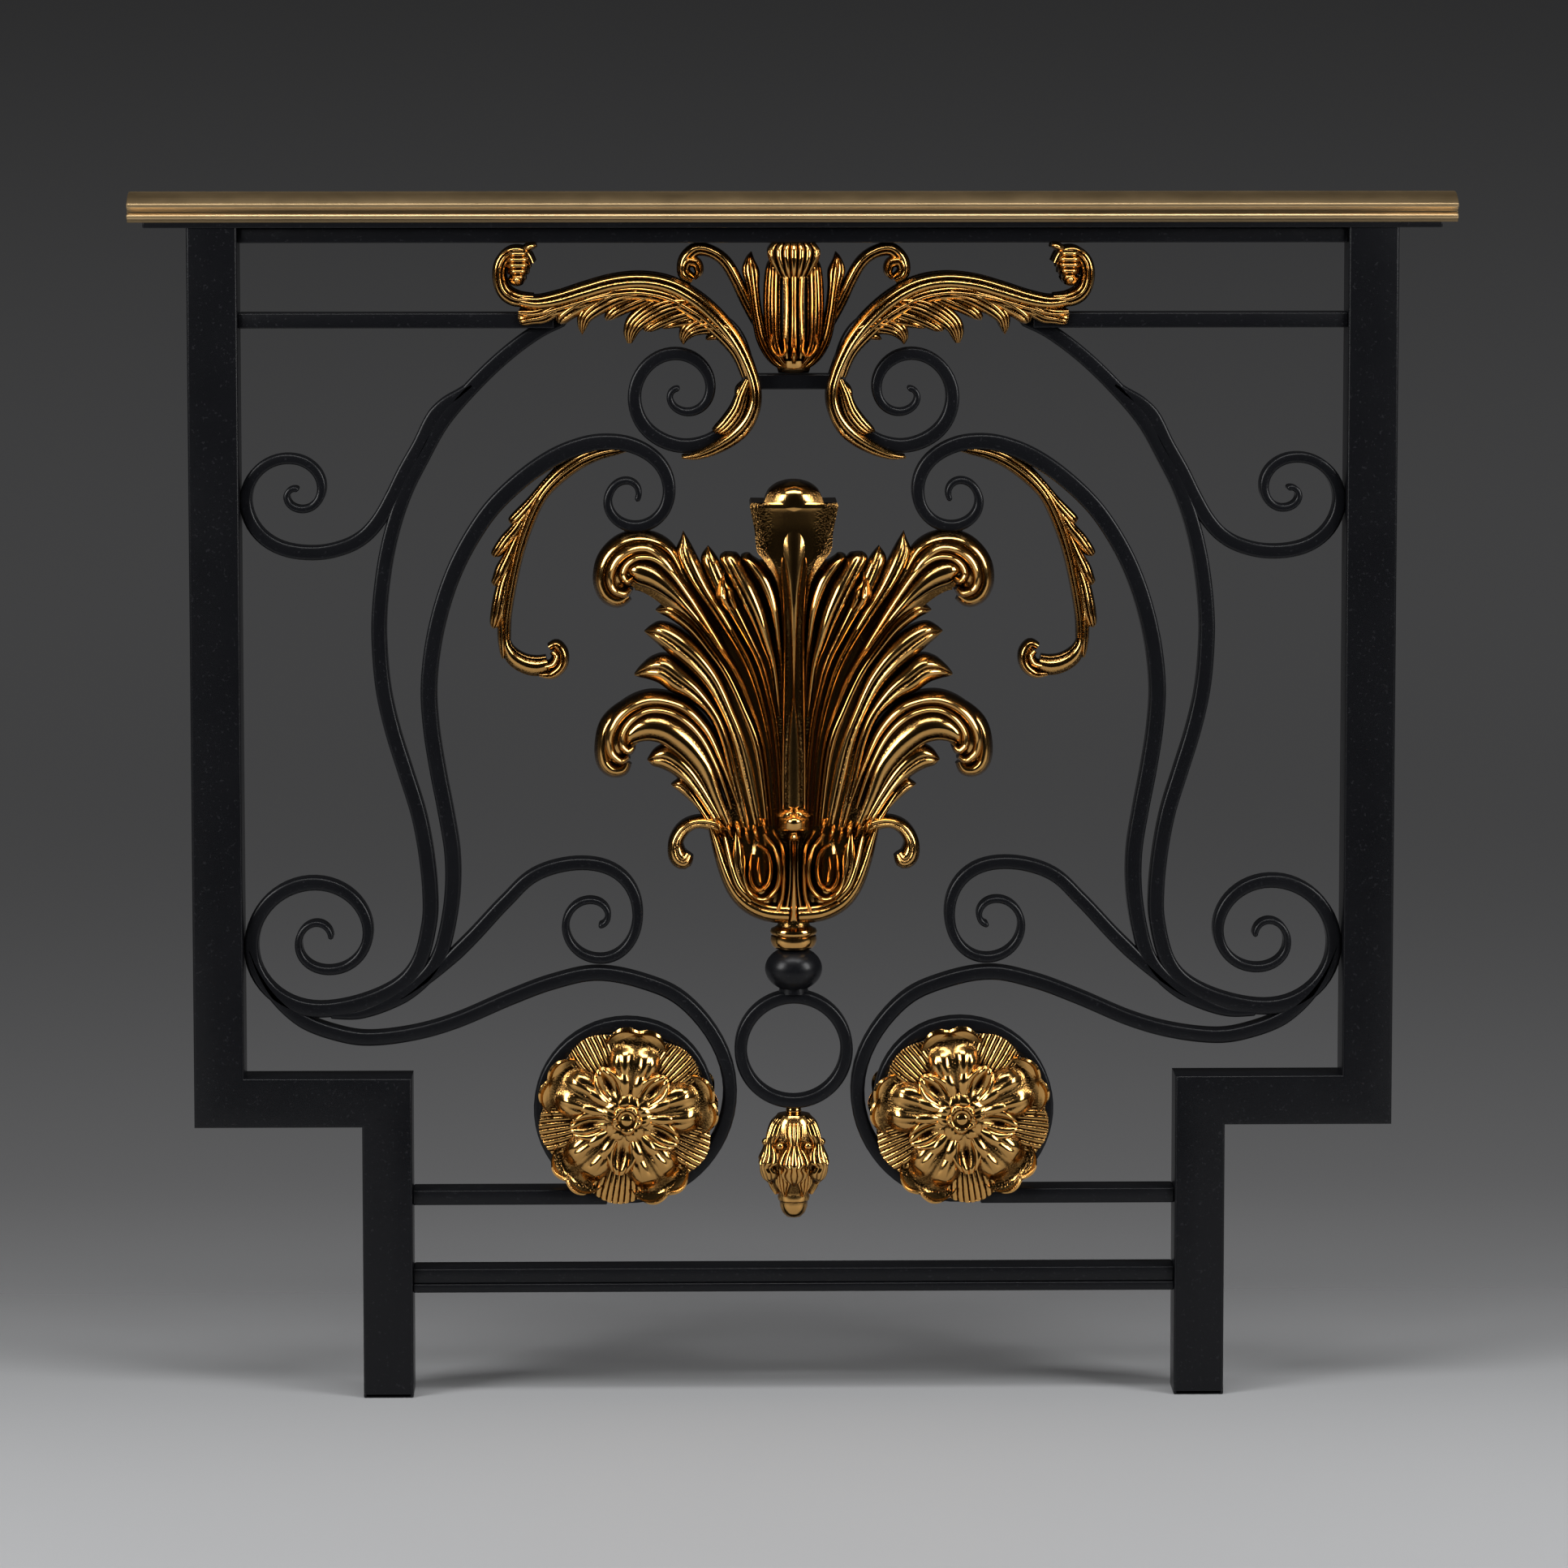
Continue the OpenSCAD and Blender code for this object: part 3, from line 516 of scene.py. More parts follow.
def flat_bar(bm, x0, x1, half_d, z0, z1):
    """Flat bar with softened edges, from x0 to x1 and from z0 to z1."""
    made = bmesh.ops.create_cube(bm, size=1)["verts"]
    bmesh.ops.scale(bm, vec=Vector((x1 - x0, 2 * half_d, z1 - z0)) * MM, verts=made)
    bmesh.ops.translate(bm, vec=Vector(((x0 + x1) / 2, 0, (z0 + z1) / 2)) * MM, verts=made)
    edges = list({e for v in made for e in v.link_edges})
    bmesh.ops.bevel(bm, geom=edges, offset=iron().bar_edge, segments=3, profile=0.5,
                    affect="EDGES", material=-1)


SHOULDER = stem_and_coil(
    [(-180, 868), (-203, 857), (-230, 837), (-256, 812), (-279, 785), (-296, 755), (-309, 729), (-319, 700),
     (-326, 668), (-330, 632), (-330, 603), (-327, 570), (-320, 538), (-310, 505), (-300, 472), (-294, 440),
     (-291, 408), (-292, 382), (-301, 350), (-321, 329)],
    coil((-378, 368), 288, [56, 57, 49, 39, 24, 19, 16, 8]))
POST_COIL = stem_and_coil(
    [(-252, 817), (-264, 808), (-277, 799), (-287, 787), (-297, 767), (-309, 746), (-319, 726), (-330, 707),
     (-343, 693), (-361, 684)],
    coil((-393, 728), 278, [48, 43, 28, 18, 12.5, 10, 3]))
INNER = stem_and_coil(
    [(-372, 309), (-348, 310), (-322, 320), (-301, 334), (-286, 352), (-278, 376), (-273, 408), (-273, 440),
     (-278, 473), (-284, 505), (-289, 538), (-291, 570), (-288, 603), (-281, 635), (-271, 664), (-258, 690),
     (-241, 715), (-220, 736), (-197, 753), (-174, 764), (-151, 769)],
    coil((-132, 723), 80, [43, 31, 20, 15.5, 14.5, 7]))
CROWN = stem_and_coil(
    [(-70, 871), (-51, 861), (-40, 843), (-36, 817), (-42, 796), (-56, 777), (-74, 767)],
    coil((-91, 807), 262, [41, 35, 31.5, 23.5, 12, 6.5, 4]))
BRANCH = stem_and_coil(
    [(-318, 321), (-306, 328), (-284, 346), (-258, 371), (-230, 401), (-204, 424)],
    coil((-157, 385), 99, [47.5, 32.5, 31.5, 26, 16, 8, 4]))
BASE = stem_and_coil(
    [(-437, 366), (-428, 343), (-414, 322), (-394, 305), (-370, 295), (-342, 290), (-305, 294), (-270, 304),
     (-228, 322), (-193, 335), (-157, 342), (-117, 334)],
    coil((-134, 228), 58, [101, 72.5, 66, 71, 72, 64]))

# A bar's name, its centre line, and its width as (share of length, share of full width).
SCROLLS = (
    ("shoulder_scroll", SHOULDER, ((0, 0.95), (0.55, 1.0), (0.8, 0.9), (1, 0.35))),
    ("post_scroll", POST_COIL, ((0, 0.5), (0.1, 1.0), (0.5, 0.9), (0.85, 0.62), (1, 0.35))),
    ("inner_scroll", INNER, ((0, 0.4), (0.08, 1.0), (0.7, 1.1), (0.9, 0.7), (1, 0.35))),
    ("crown_scroll", CROWN, ((0, 0.8), (0.45, 0.9), (0.75, 0.8), (1, 0.35))),
    ("branch_scroll", BRANCH, ((0, 0.4), (0.15, 0.9), (0.5, 0.8), (1, 0.35))),
    ("base_scroll", BASE, ((0, 0.4), (0.08, 0.9), (0.88, 0.9), (1, 0.25))),
)


class PANEL_OT_scrolls(bpy.types.Operator):
    """Forge the scroll bars of both halves"""
    bl_idname = "panel.scrolls"
    bl_label = "Scroll Bars"

    def execute(self, context):
        for side in SIDES:
            for name, line, ends in SCROLLS:
                bm = bmesh.new()
                forge(bm, line, ends)
                if side == "right":
                    flip(bm, 0)
                piece(f"{side}_{name}_bar", bm, "iron_paint", (f"{side}_{name}",))
        return {"FINISHED"}


class PANEL_OT_frame(bpy.types.Operator):
    """Build the stepped square-tube sides and the flat cross bars"""
    bl_idname = "panel.frame"
    bl_label = "Frame"

    def execute(self, context):
        outline = rounded_box(HALF_TUBE, HALF_TUBE, iron().tube_corner / MM)
        path = ((-LEG_X, 0.6, 0), (-LEG_X, STEP_MID, 1), (-POST_X, STEP_MID, 1), (-POST_X, PLATE_Z, 0))
        for side in SIDES:
            bm = bmesh.new()
            skin(bm, [[(x + u, v, z + u * mitred) for u, v in outline] for x, z, mitred in path], caps="flat")
            if side == "right":
                flip(bm, 0)
            piece(f"{side}_side_tube", bm, "iron_paint",
                  (f"{side}_post", f"{side}_step", f"{side}_leg"), sharp=30)
        bm = bmesh.new()
        flat_bar(bm, -LEG_X - HALF_TUBE, -LEG_INNER, HALF_TUBE, 0, 4)
        mirror_x(bm)
        piece("foot_plates", bm, "iron_paint", ("foot_caps",))
        bars = (
            ("top_bar", (-POST_INNER, POST_INNER, 15, PLATE_Z - 12, PLATE_Z)),
            ("left_upper_bar", (-POST_INNER, -190, 15, 860, 872)),
            ("right_upper_bar", (190, POST_INNER, 15, 860, 872)),
            ("centre_tie", (-37, 37, 10, 811, 823)),
            ("left_lower_bar", (-LEG_INNER, -150, 15, 156, 168)),
            ("right_lower_bar", (150, LEG_INNER, 15, 156, 168)),
            ("bottom_bar", (-LEG_INNER, LEG_INNER, 15, 92, 104)),
            ("bottom_flat", (-LEG_INNER, LEG_INNER, 17, 85, 92)),
            ("rail_plate", (-514, 514, 21, PLATE_Z, PLATE_Z + 8)),
        )
        for name, size in bars:
            bm = bmesh.new()
            flat_bar(bm, *size)
            piece(f"{name}_flat", bm, "iron_paint", (name,))
        return {"FINISHED"}


class PANEL_OT_centre_iron(bpy.types.Operator):
    """Turn the boss discs, the ring and the ball on the centre line"""
    bl_idname = "panel.centre_iron"
    bl_label = "Bosses, Ring and Ball"

    def execute(self, context):
        disc = ((0.2, -10), (66, -10), (67.2, -9), (67.2, 9), (66, 10), (0.2, 10))
        for side, way in zip(SIDES, (-1, 1)):
            bm = bmesh.new()
            turned(bm, disc, 72, (way * BOSS_X, 0, BOSS_Z), face_on=True)
            piece(f"{side}_boss_disc", bm, "iron_paint", (f"{side}_boss",))
        bm = bmesh.new()
        ring_z, ring_r, thick, deep, corner = 280, 42.5, 5, 10, 2.6
        rings = [[((ring_r + u) * math.cos(a), v, ring_z + (ring_r + u) * math.sin(a))
                  for u, v in rounded_box(thick, deep, corner)]
                 for a in (math.radians(5 * k) for k in range(73))]
        skin(bm, rings, caps=None)
        bmesh.ops.remove_doubles(bm, verts=bm.verts, dist=1e-5)
        piece("centre_ring_bar", bm, "iron_paint", ("centre_ring",))
        bm = bmesh.new()
        ball_z, half_w, half_h = 345, 23, 18
        outline = [(half_w * math.cos(math.radians(t)), ball_z + half_h * math.sin(math.radians(t)))
                   for t in range(-60, 61, 8)]
        turned(bm, [(0.2, 325), (12, 325)] + outline + [(12.5, 361), (0.2, 361)], 64)
        piece("iron_ball", bm, "iron_paint", ("ball",))
        return {"FINISHED"}


def turned(bm, profile, segments, at=(0, 0, 0), face_on=False, shade_and_patina_level=None):
    """Turns a profile of (radius, height) about the upright, or about the front-to-back line when face_on."""
    rings = []
    for k in range(segments + 1):
        a = 2 * math.pi * k / segments
        ring = []
        for r, h in profile:
            x, y = r * math.cos(a), r * math.sin(a)
            ring.append((at[0] + x, at[1] + h, at[2] + y) if face_on else (at[0] + x, at[1] + y, at[2] + h))
        rings.append(ring)
    lengths = run_lengths(profile)
    grain = [[(k / segments * 0.02, s * MM) for s in lengths] for k in range(segments + 1)]
    # Darkness down the profile: patina and painted shade in its grooves. There is none when no list is given.
    hollow = [shade_and_patina_level or [0] * len(profile)] * (segments + 1)
    skin(bm, rings, hollow, grain, caps=None)
    bmesh.ops.remove_doubles(bm, verts=bm.verts, dist=1e-5)
    rim = [e for e in bm.edges if e.is_boundary]
    if rim:
        bmesh.ops.holes_fill(bm, edges=rim, sides=0)


# ---------------------------------------------------------------- handrail

def arc(cy, cz, r, start, stop, steps):
    """Points of an arc in a section, as (depth, height)."""
    return [(cy + r * math.cos(math.radians(start + (stop - start) * k / steps)),
             cz + r * math.sin(math.radians(start + (stop - start) * k / steps))) for k in range(steps + 1)]


class PANEL_OT_handrail(bpy.types.Operator):
    """Draw the brass moulding along the top"""
    bl_idname = "panel.handrail"
    bl_label = "Handrail"

    def execute(self, context):
        base, half_l, chamfer = 944, 526, 0.8
        half_d, dome_base, rail_h, bead, lip = 26, 14, 23.8, 2.5, 22
        dome_h = rail_h - dome_base
        dome_r = (half_d ** 2 + dome_h ** 2) / (2 * dome_h)
        spread = math.degrees(math.asin((half_d - 1) / dome_r))
        side = arc(0, rail_h - dome_r, dome_r, 90, 90 - spread, 14)
        side += arc(half_d - bead, dome_base - 0.5, bead, 35, -110, 8)
        side += [(half_d - bead - 1.6, dome_base - 4.2), (lip - 0.8, dome_base - 5.4), (lip - 0.6, 7.6)]
        side += arc(lip - 0.2, 4.5, bead, 70, -80, 8)
        side += [(lip - 0.4, 0.5), (21.2, 0), (21, 0.4), (21, 3.5)]
        outline = side + [(-y, z) for y, z in reversed(side)]
        outline.append(outline[0])
        places = (-half_l, chamfer - half_l, -400, -200, 0, 200, 400, half_l - chamfer, half_l)
        rings = []
        for x in places:
            pull = chamfer if abs(x) == half_l else 0
            rings.append([(x, y * (1 - pull / half_d), base + z - (pull * 0.5 if z > 20 else 0))
                          for y, z in outline])
        bm = bmesh.new()
        # Painted shade: full darkness in the side grooves and along the underside of the moulding.
        grooved = [[1.0 if abs(y) < 22.4 and 4 < z < 11.4 or z < 2.4 else 0.0 for y, z in outline]] * len(places)
        skin(bm, rings, grooved, caps="flat")
        piece("brass_rail", bm, "rail_brass", ("handrail",), sharp=38)
        return {"FINISHED"}


# ---------------------------------------------------------------- cast leaves

def section(left, right, crown, back, edge, reeds, valley, length, wide):
    """One cross-section of a cast leaf: arched reeds across its front over a flat back."""
    points, hollow, grain = [], [], []
    for i, (a, b) in enumerate(zip(reeds, reeds[1:])):
        count = 8 if i < len(reeds) - 2 else 9
        for k in range(count):
            t = k / 8
            u = a + (b - a) * t
            dome = max(math.cos(math.pi / 2 * (2 * u - 1)), 0) ** 0.7
            dip = (1 - math.sin(math.pi * t)) ** 1.6 * min(1, 7 * min(u, 1 - u))
            height = crown * (edge + (1 - edge) * dome) * (1 - valley * dip)
            points.append((left[0] + (right[0] - left[0]) * u, -back - height, left[1] + (right[1] - left[1]) * u))
            # Darkness: patina and painted shade in the valleys between the reeds, painted shade on the flanks at the
            # edges.
            rim = (1 - dome) ** 1.5
            hollow.append(min(1.0, 0.95 * dip ** 0.6 + rim * 0.9))
            grain.append((u * wide * MM, length * MM))
    # Painted shade on the flat back, which faces the iron.
    for u in (1.0, 0.5, 0.0):
        points.append((left[0] + (right[0] - left[0]) * u, -back, left[1] + (right[1] - left[1]) * u))
        hollow.append(0.9)
        grain.append((u * wide * MM, length * MM))
    points.append(points[0])
    hollow.append(hollow[0])
    grain.append(grain[0])
    return points, hollow, grain


def cast(bm, left, right, crowns, back=0, edge=0.55, reeds=(0, 1), valley=0.22):
    """Solid between a left and a right edge line, with its crown height at each point."""
    middle = [((p[0] + q[0]) / 2, (p[1] + q[1]) / 2) for p, q in zip(left, right)]
    lengths = run_lengths(middle)
    wide = max(math.dist(p, q) for p, q in zip(left, right))
    made = [section(p, q, h, back, edge, reeds, valley, s, wide)
            for p, q, h, s in zip(left, right, crowns, lengths)]
    skin(bm, [m[0] for m in made], [m[1] for m in made], [m[2] for m in made])


def leaf(bm, stations, steps=5, **form):
    """Cast leaf between two edges; a station is (x, z, x, z, crown) for its two edge points."""
    run = smooth(stations, steps)
    cast(bm, [p[0:2] for p in run], [p[2:4] for p in run], [max(p[4], 0.5) for p in run], **form)


def middle(bm, stations, **form):
    """Cast leaf that straddles the centre line; a station is (half width, z, crown)."""
    leaf(bm, [(-half, z, half, z, crown) for half, z, crown in stations], **form)


def reed(bm, stations, steps=5, **form):
    """Cast reed along a middle line; a station is (x, z, half width, crown)."""
    run = smooth(stations, steps)
    sides = normals(run)
    left = [(p[0] + n[0] * max(p[2], 0.4), p[1] + n[1] * max(p[2], 0.4)) for p, n in zip(run, sides)]
    right = [(p[0] - n[0] * max(p[2], 0.4), p[1] - n[1] * max(p[2], 0.4)) for p, n in zip(run, sides)]
    cast(bm, left, right, [max(p[3], 0.5) for p in run], **form)


def casting(build, name, side="", face=""):
    """One copy of a casting, which is drawn for the left half and the front."""
    bm = bmesh.new()
    build(bm)
    if face == "back":
        flip(bm, 1)
    if side == "right":
        flip(bm, 0)
    label = "_".join(word for word in (side, name, face) if word)
    piece(f"{label}_cast", bm, "cast_brass", (label,))


def even(count):
    """Reeds of equal width, as the shares where they begin and end."""
    return tuple(k / count for k in range(count + 1))


TWO = (0, 0.36, 1)
THREE = (0, 0.25, 0.55, 1)


def palmette(bm):
    """Acanthus fan: lobes from the middle outwards, two curls a side, and a bowl under them."""
    lobe = {"edge": 0.56, "valley": 0.16}
    # filling behind the lobes and in the bowl
    leaf(bm, [(-8, 386, 0, 386, 9), (-33, 399, 0, 399, 11), (-45, 413, 0, 413, 12), (-52, 432, 0, 432, 13),
              (-56, 452, 0, 452, 13), (-54, 480, 0, 480, 12), (-58, 520, 0, 520, 13), (-64, 560, 0, 560, 14),
              (-68, 600, 0, 600, 14), (-66, 636, 0, 636, 13), (-56, 662, 0, 662, 11), (-40, 674, 0, 674, 9)],
             edge=0.9)
    # lobes of the upper half, from the middle outwards
    leaf(bm, [(-10, 558, -8, 558, 15), (-12, 590, -8, 590, 20), (-16, 614, -9, 615, 23), (-21, 636, -10, 638, 25),
              (-29, 656, -15, 658, 24), (-37, 669, -24, 671, 21), (-42, 677, -32, 677, 16), (-39, 680, -35, 680, 8)],
             **lobe)
    leaf(bm, [(-14, 550, -9, 550, 15), (-20, 588, -12, 590, 20), (-27, 606, -16, 613, 23), (-35, 625, -21, 635, 25),
              (-45, 645, -29, 655, 23.5), (-53, 662, -37, 668, 19), (-59, 676, -44, 679, 14),
              (-55, 681, -49, 681, 7)], reeds=(0, 0.3, 1), **lobe)
    leaf(bm, [(-12, 462, -7, 462, 15), (-15, 510, -9, 510, 17), (-19, 545, -12, 545, 19), (-26, 576, -17, 570, 21),
              (-33, 596, -22, 592, 22), (-42, 613, -29, 609, 23), (-53, 632, -38, 629, 22), (-63, 648, -47, 648, 20),
              (-70, 662, -54, 663, 17), (-74, 676, -61, 677, 13), (-69, 685, -68, 686, 5)], reeds=(0, 0.6, 1), **lobe)
    leaf(bm, [(-52, 630, -40, 630, 16), (-61, 644, -46, 644, 26), (-62, 653, -48, 651, 24), (-60, 660, -53, 658, 19),
              (-57, 667, -55, 667, 10)], reeds=(0, 0.6, 1), edge=0.7)
    leaf(bm, [(-16, 462, -12, 462, 15), (-19, 512, -15, 512, 17), (-26, 547, -19, 547, 19), (-35, 577, -26, 577, 21),
              (-44, 597, -33, 597, 22), (-55, 616, -42, 614, 23), (-68, 635, -53, 634, 22), (-81, 653, -64, 652, 20),
              (-90, 668, -72, 668, 18), (-94, 681, -80, 684, 14), (-90, 692, -85, 693, 8), (-88, 698, -88, 698, 3)],
             reeds=(0, 0.42, 1), **lobe)
    # upper curl: its filling, its body, then three reeds that wind inwards
    reed(bm, [(-45, 575, 4, 15), (-60, 602, 8, 17), (-80, 634, 13, 18), (-104, 660, 17, 19), (-124, 671, 20, 18),
              (-139, 664, 16, 17), (-144, 652, 10, 13)], edge=0.7)
    leaf(bm, [(-19, 462, -16, 462, 15), (-26, 525, -22, 525, 18), (-38, 560, -31, 557, 21), (-51, 588, -42, 584, 24),
              (-64, 607, -54, 604, 26), (-78, 625, -67, 622, 27), (-92, 639, -81, 641, 27), (-105, 648, -94, 658, 26),
              (-115, 653, -107, 670, 25), (-124, 656, -121, 676, 24), (-129, 660, -130, 674, 21),
              (-131, 663, -135, 667, 16)], reeds=(0, 0.14, 1), edge=0.72, valley=0.12)
    reed(bm, [(-28, 540, 1.5, 18), (-40, 575, 2.4, 22), (-54, 600, 3, 24), (-69, 625, 3.6, 25), (-84, 648, 4.6, 26),
              (-98, 667, 5, 26), (-111, 677, 5, 25), (-124, 678, 5, 25), (-133, 672, 5, 24), (-136, 664, 4.6, 24),
              (-132, 659, 4.2, 24), (-128, 662, 2.5, 21)], edge=0.65)
    reed(bm, [(-36, 560, 2, 18), (-48, 588, 2.6, 21), (-62, 611, 3.4, 23), (-76, 634, 4.4, 24), (-90, 656, 5.6, 24.5),
              (-102, 674, 6.6, 25), (-116, 685, 7, 25), (-131, 683, 7, 24.5), (-142, 674, 7, 24),
              (-146, 662, 6.4, 23), (-143, 652, 5.6, 22), (-135, 649, 5, 21), (-130, 653, 3, 18)], edge=0.5)
    reed(bm, [(-90, 668, 3, 16), (-98, 682, 5, 18), (-110, 690, 6, 19), (-125, 692, 6.5, 19), (-139, 687, 7, 19),
              (-150, 675, 7, 19), (-153, 660, 7, 18), (-149, 648, 7, 17), (-140, 643, 6.5, 16), (-132, 647, 5, 13)],
             edge=0.4)
    # lobes between the curls
    leaf(bm, [(-24, 462, -18, 462, 15), (-32, 520, -25, 525, 18), (-44, 555, -38, 560, 20), (-57, 583, -51, 588, 22),
              (-70, 601, -64, 607, 22), (-83, 616, -77, 625, 21), (-94, 625, -90, 637, 19), (-102, 630, -98, 641, 15),
              (-107, 632, -105, 639, 10), (-110, 634, -110, 635, 4)], reeds=even(2), **lobe)
    leaf(bm, [(-33, 458, -23, 462, 14), (-44, 502, -29, 502, 16), (-51, 530, -36, 530, 18), (-59, 551, -45, 554, 20),
              (-70, 571, -57, 583, 22), (-83, 586, -71, 603, 23), (-97, 598, -85, 616, 22), (-104, 604, -97, 623, 19),
              (-111, 610, -107, 625, 15), (-116, 614, -114, 622, 9), (-119, 617, -119, 618, 4)],
             reeds=(0, 0.45, 1), **lobe)
    leaf(bm, [(-42, 455, -33, 459, 14), (-53, 500, -43, 502, 15), (-60, 530, -50, 530, 18), (-69, 550, -58, 552, 20),
              (-84, 563, -72, 574, 22), (-98, 570, -87, 589, 23), (-108, 577, -101, 599, 21),
              (-117, 580, -113, 597, 16), (-124, 581, -122, 590, 10), (-127, 582, -127, 584, 4)],
             reeds=even(2), **lobe)
    # lower curl
    reed(bm, [(-62, 500, 5, 14), (-78, 530, 10, 16), (-95, 547, 14, 17), (-115, 549, 16, 18), (-133, 542, 16, 17),
              (-143, 527, 13, 16), (-144, 515, 9, 13)], edge=0.7)
    leaf(bm, [(-52, 450, -44, 452, 13), (-66, 480, -57, 488, 16), (-76, 500, -64, 512, 18), (-87, 514, -75, 530, 21),
              (-97, 523, -88, 543, 23), (-106, 529, -101, 551, 24), (-115, 531, -114, 553, 24),
              (-123, 530, -126, 549, 22), (-129, 528, -134, 540, 20), (-131, 524, -136, 530, 15)],
             reeds=(0, 0.15, 1), edge=0.72, valley=0.12)
    reed(bm, [(-50, 476, 2, 15), (-60, 506, 3, 18), (-73, 532, 4.4, 20), (-88, 548, 5, 22), (-103, 555, 5, 23),
              (-117, 555, 5, 23), (-129, 548, 5, 23), (-136, 538, 5, 22), (-137, 528, 4.6, 22), (-132, 523, 4.2, 21),
              (-128, 526, 2.5, 19)], edge=0.65)
    reed(bm, [(-45, 480, 2.5, 15), (-56, 510, 3.4, 18), (-68, 537, 5, 20), (-84, 555, 6, 22), (-100, 562, 6.6, 22),
              (-116, 563, 7, 22), (-131, 557, 7, 22), (-142, 546, 7, 22), (-147, 533, 6.4, 21), (-145, 521, 5.8, 20),
              (-138, 515, 5, 19), (-132, 518, 3, 16)], edge=0.5)
    reed(bm, [(-92, 562, 3, 14), (-106, 564, 5, 16), (-121, 561, 6, 17), (-136, 554, 7, 17), (-148, 543, 7, 17),
              (-152, 528, 7, 17), (-151, 514, 7, 16), (-145, 507, 6.5, 15), (-137, 507, 5.5, 13), (-133, 513, 4, 11)],
             edge=0.4)
    # lobes under the lower curl
    leaf(bm, [(-57, 452, -50, 458, 12), (-69, 470, -60, 478, 14), (-79, 485, -70, 496, 16), (-89, 497, -80, 511, 17),
              (-98, 504, -91, 522, 17), (-106, 508, -101, 527, 15), (-113, 510, -111, 523, 11),
              (-117, 514, -117, 515, 5)], reeds=(0, 0.45, 1), **lobe)
    leaf(bm, [(-62, 452, -56, 452, 11), (-70, 465, -67, 468, 13), (-78, 476, -77, 484, 14), (-86, 484, -84, 494, 13),
              (-92, 489, -91, 499, 11), (-96, 492, -95, 497, 8), (-98, 494, -98, 495, 4)], reeds=even(2), **lobe)
    # small side curl
    reed(bm, [(-54, 458, 5, 14), (-66, 463, 5.5, 14), (-78, 464, 5, 14), (-88, 459, 5.5, 14), (-94, 449, 6, 15),
              (-93, 438, 7.5, 16), (-88, 434, 7.5, 16), (-84, 439, 4.5, 12)], reeds=even(2), valley=0.12)
    # bowl: outer band, pointed petal, and loops about an eye
    reed(bm, [(-69, 470, 1.5, 12), (-63, 452, 4, 15), (-56, 430, 5.5, 17), (-48, 412, 6.5, 19), (-37, 400, 7.5, 20),
              (-22, 393, 8, 20), (-4, 391, 8, 19)], reeds=(0, 0.3, 1), edge=0.6, valley=0.12)
    reed(bm, [(-57, 464, 1, 14), (-54, 448, 3, 17), (-50, 430, 4, 19), (-44, 414, 4.6, 21), (-34, 403, 4.6, 21)],
             edge=0.7)
    reed(bm, [(-46, 461, 1, 15), (-45, 446, 4.4, 19), (-44, 430, 5.5, 21), (-39, 415, 5, 21), (-31, 408, 3.6, 20)],
             reeds=even(2), edge=0.7, valley=0.12)
    reed(bm, [(-27, 400, 15, 15), (-27, 415, 16, 17), (-28, 430, 14, 17), (-27, 446, 11, 15), (-26, 462, 12, 14)])
    reed(bm, [(-24, 456, 3, 19), (-15, 444, 3.6, 22), (-11.5, 428, 4, 23), (-14, 413, 4, 23), (-24, 404, 4, 23),
              (-35, 409, 4, 23), (-40, 422, 3.8, 22), (-40, 436, 3.2, 20), (-42, 448, 2, 17)], edge=0.5)
    reed(bm, [(-29, 448, 2.4, 20), (-21, 441, 3, 22), (-18.5, 427, 3.4, 24), (-21, 416, 3.4, 24),
              (-28, 411.5, 3.4, 24), (-34, 418, 3.2, 24), (-35, 430, 2.6, 22), (-34, 440, 1.8, 20)], edge=0.5)
    reed(bm, [(-28, 438, 1.6, 20), (-28.5, 428, 3, 24), (-27, 419, 2.6, 23), (-26, 415, 1, 19)])
    reed(bm, [(-14, 391, 3.6, 18), (-9, 408, 3, 22), (-8, 430, 2.8, 24), (-9.5, 446, 2.4, 23), (-17, 459, 2, 19)],
             edge=0.6)
    # burrs where the lobes leave the bowl
    for x, z, size in ((-59, 463, 3), (-51, 459, 2.4), (-44, 460, 3.2),
                       (-37, 455, 2.6), (-30, 457, 3), (-23, 462, 2.4)):
        reed(bm, [(x + 2, z - 7, size * 0.6, 16), (x, z - 2, size, 20), (x - 1, z + 2, size, 20),
                  (x - 2, z + 6, size * 0.5, 15)], valley=0.1)
    # rib beside the middle channel
    reed(bm, [(-8.6, 476, 1.4, 16), (-8.6, 510, 1.5, 18), (-8, 550, 1.3, 20), (-7.4, 600, 1.3, 23),
              (-8, 640, 1.3, 26), (-9.8, 668, 1.6, 26.5), (-9, 678, 1.2, 25)], edge=0.8)
    mirror_x(bm)
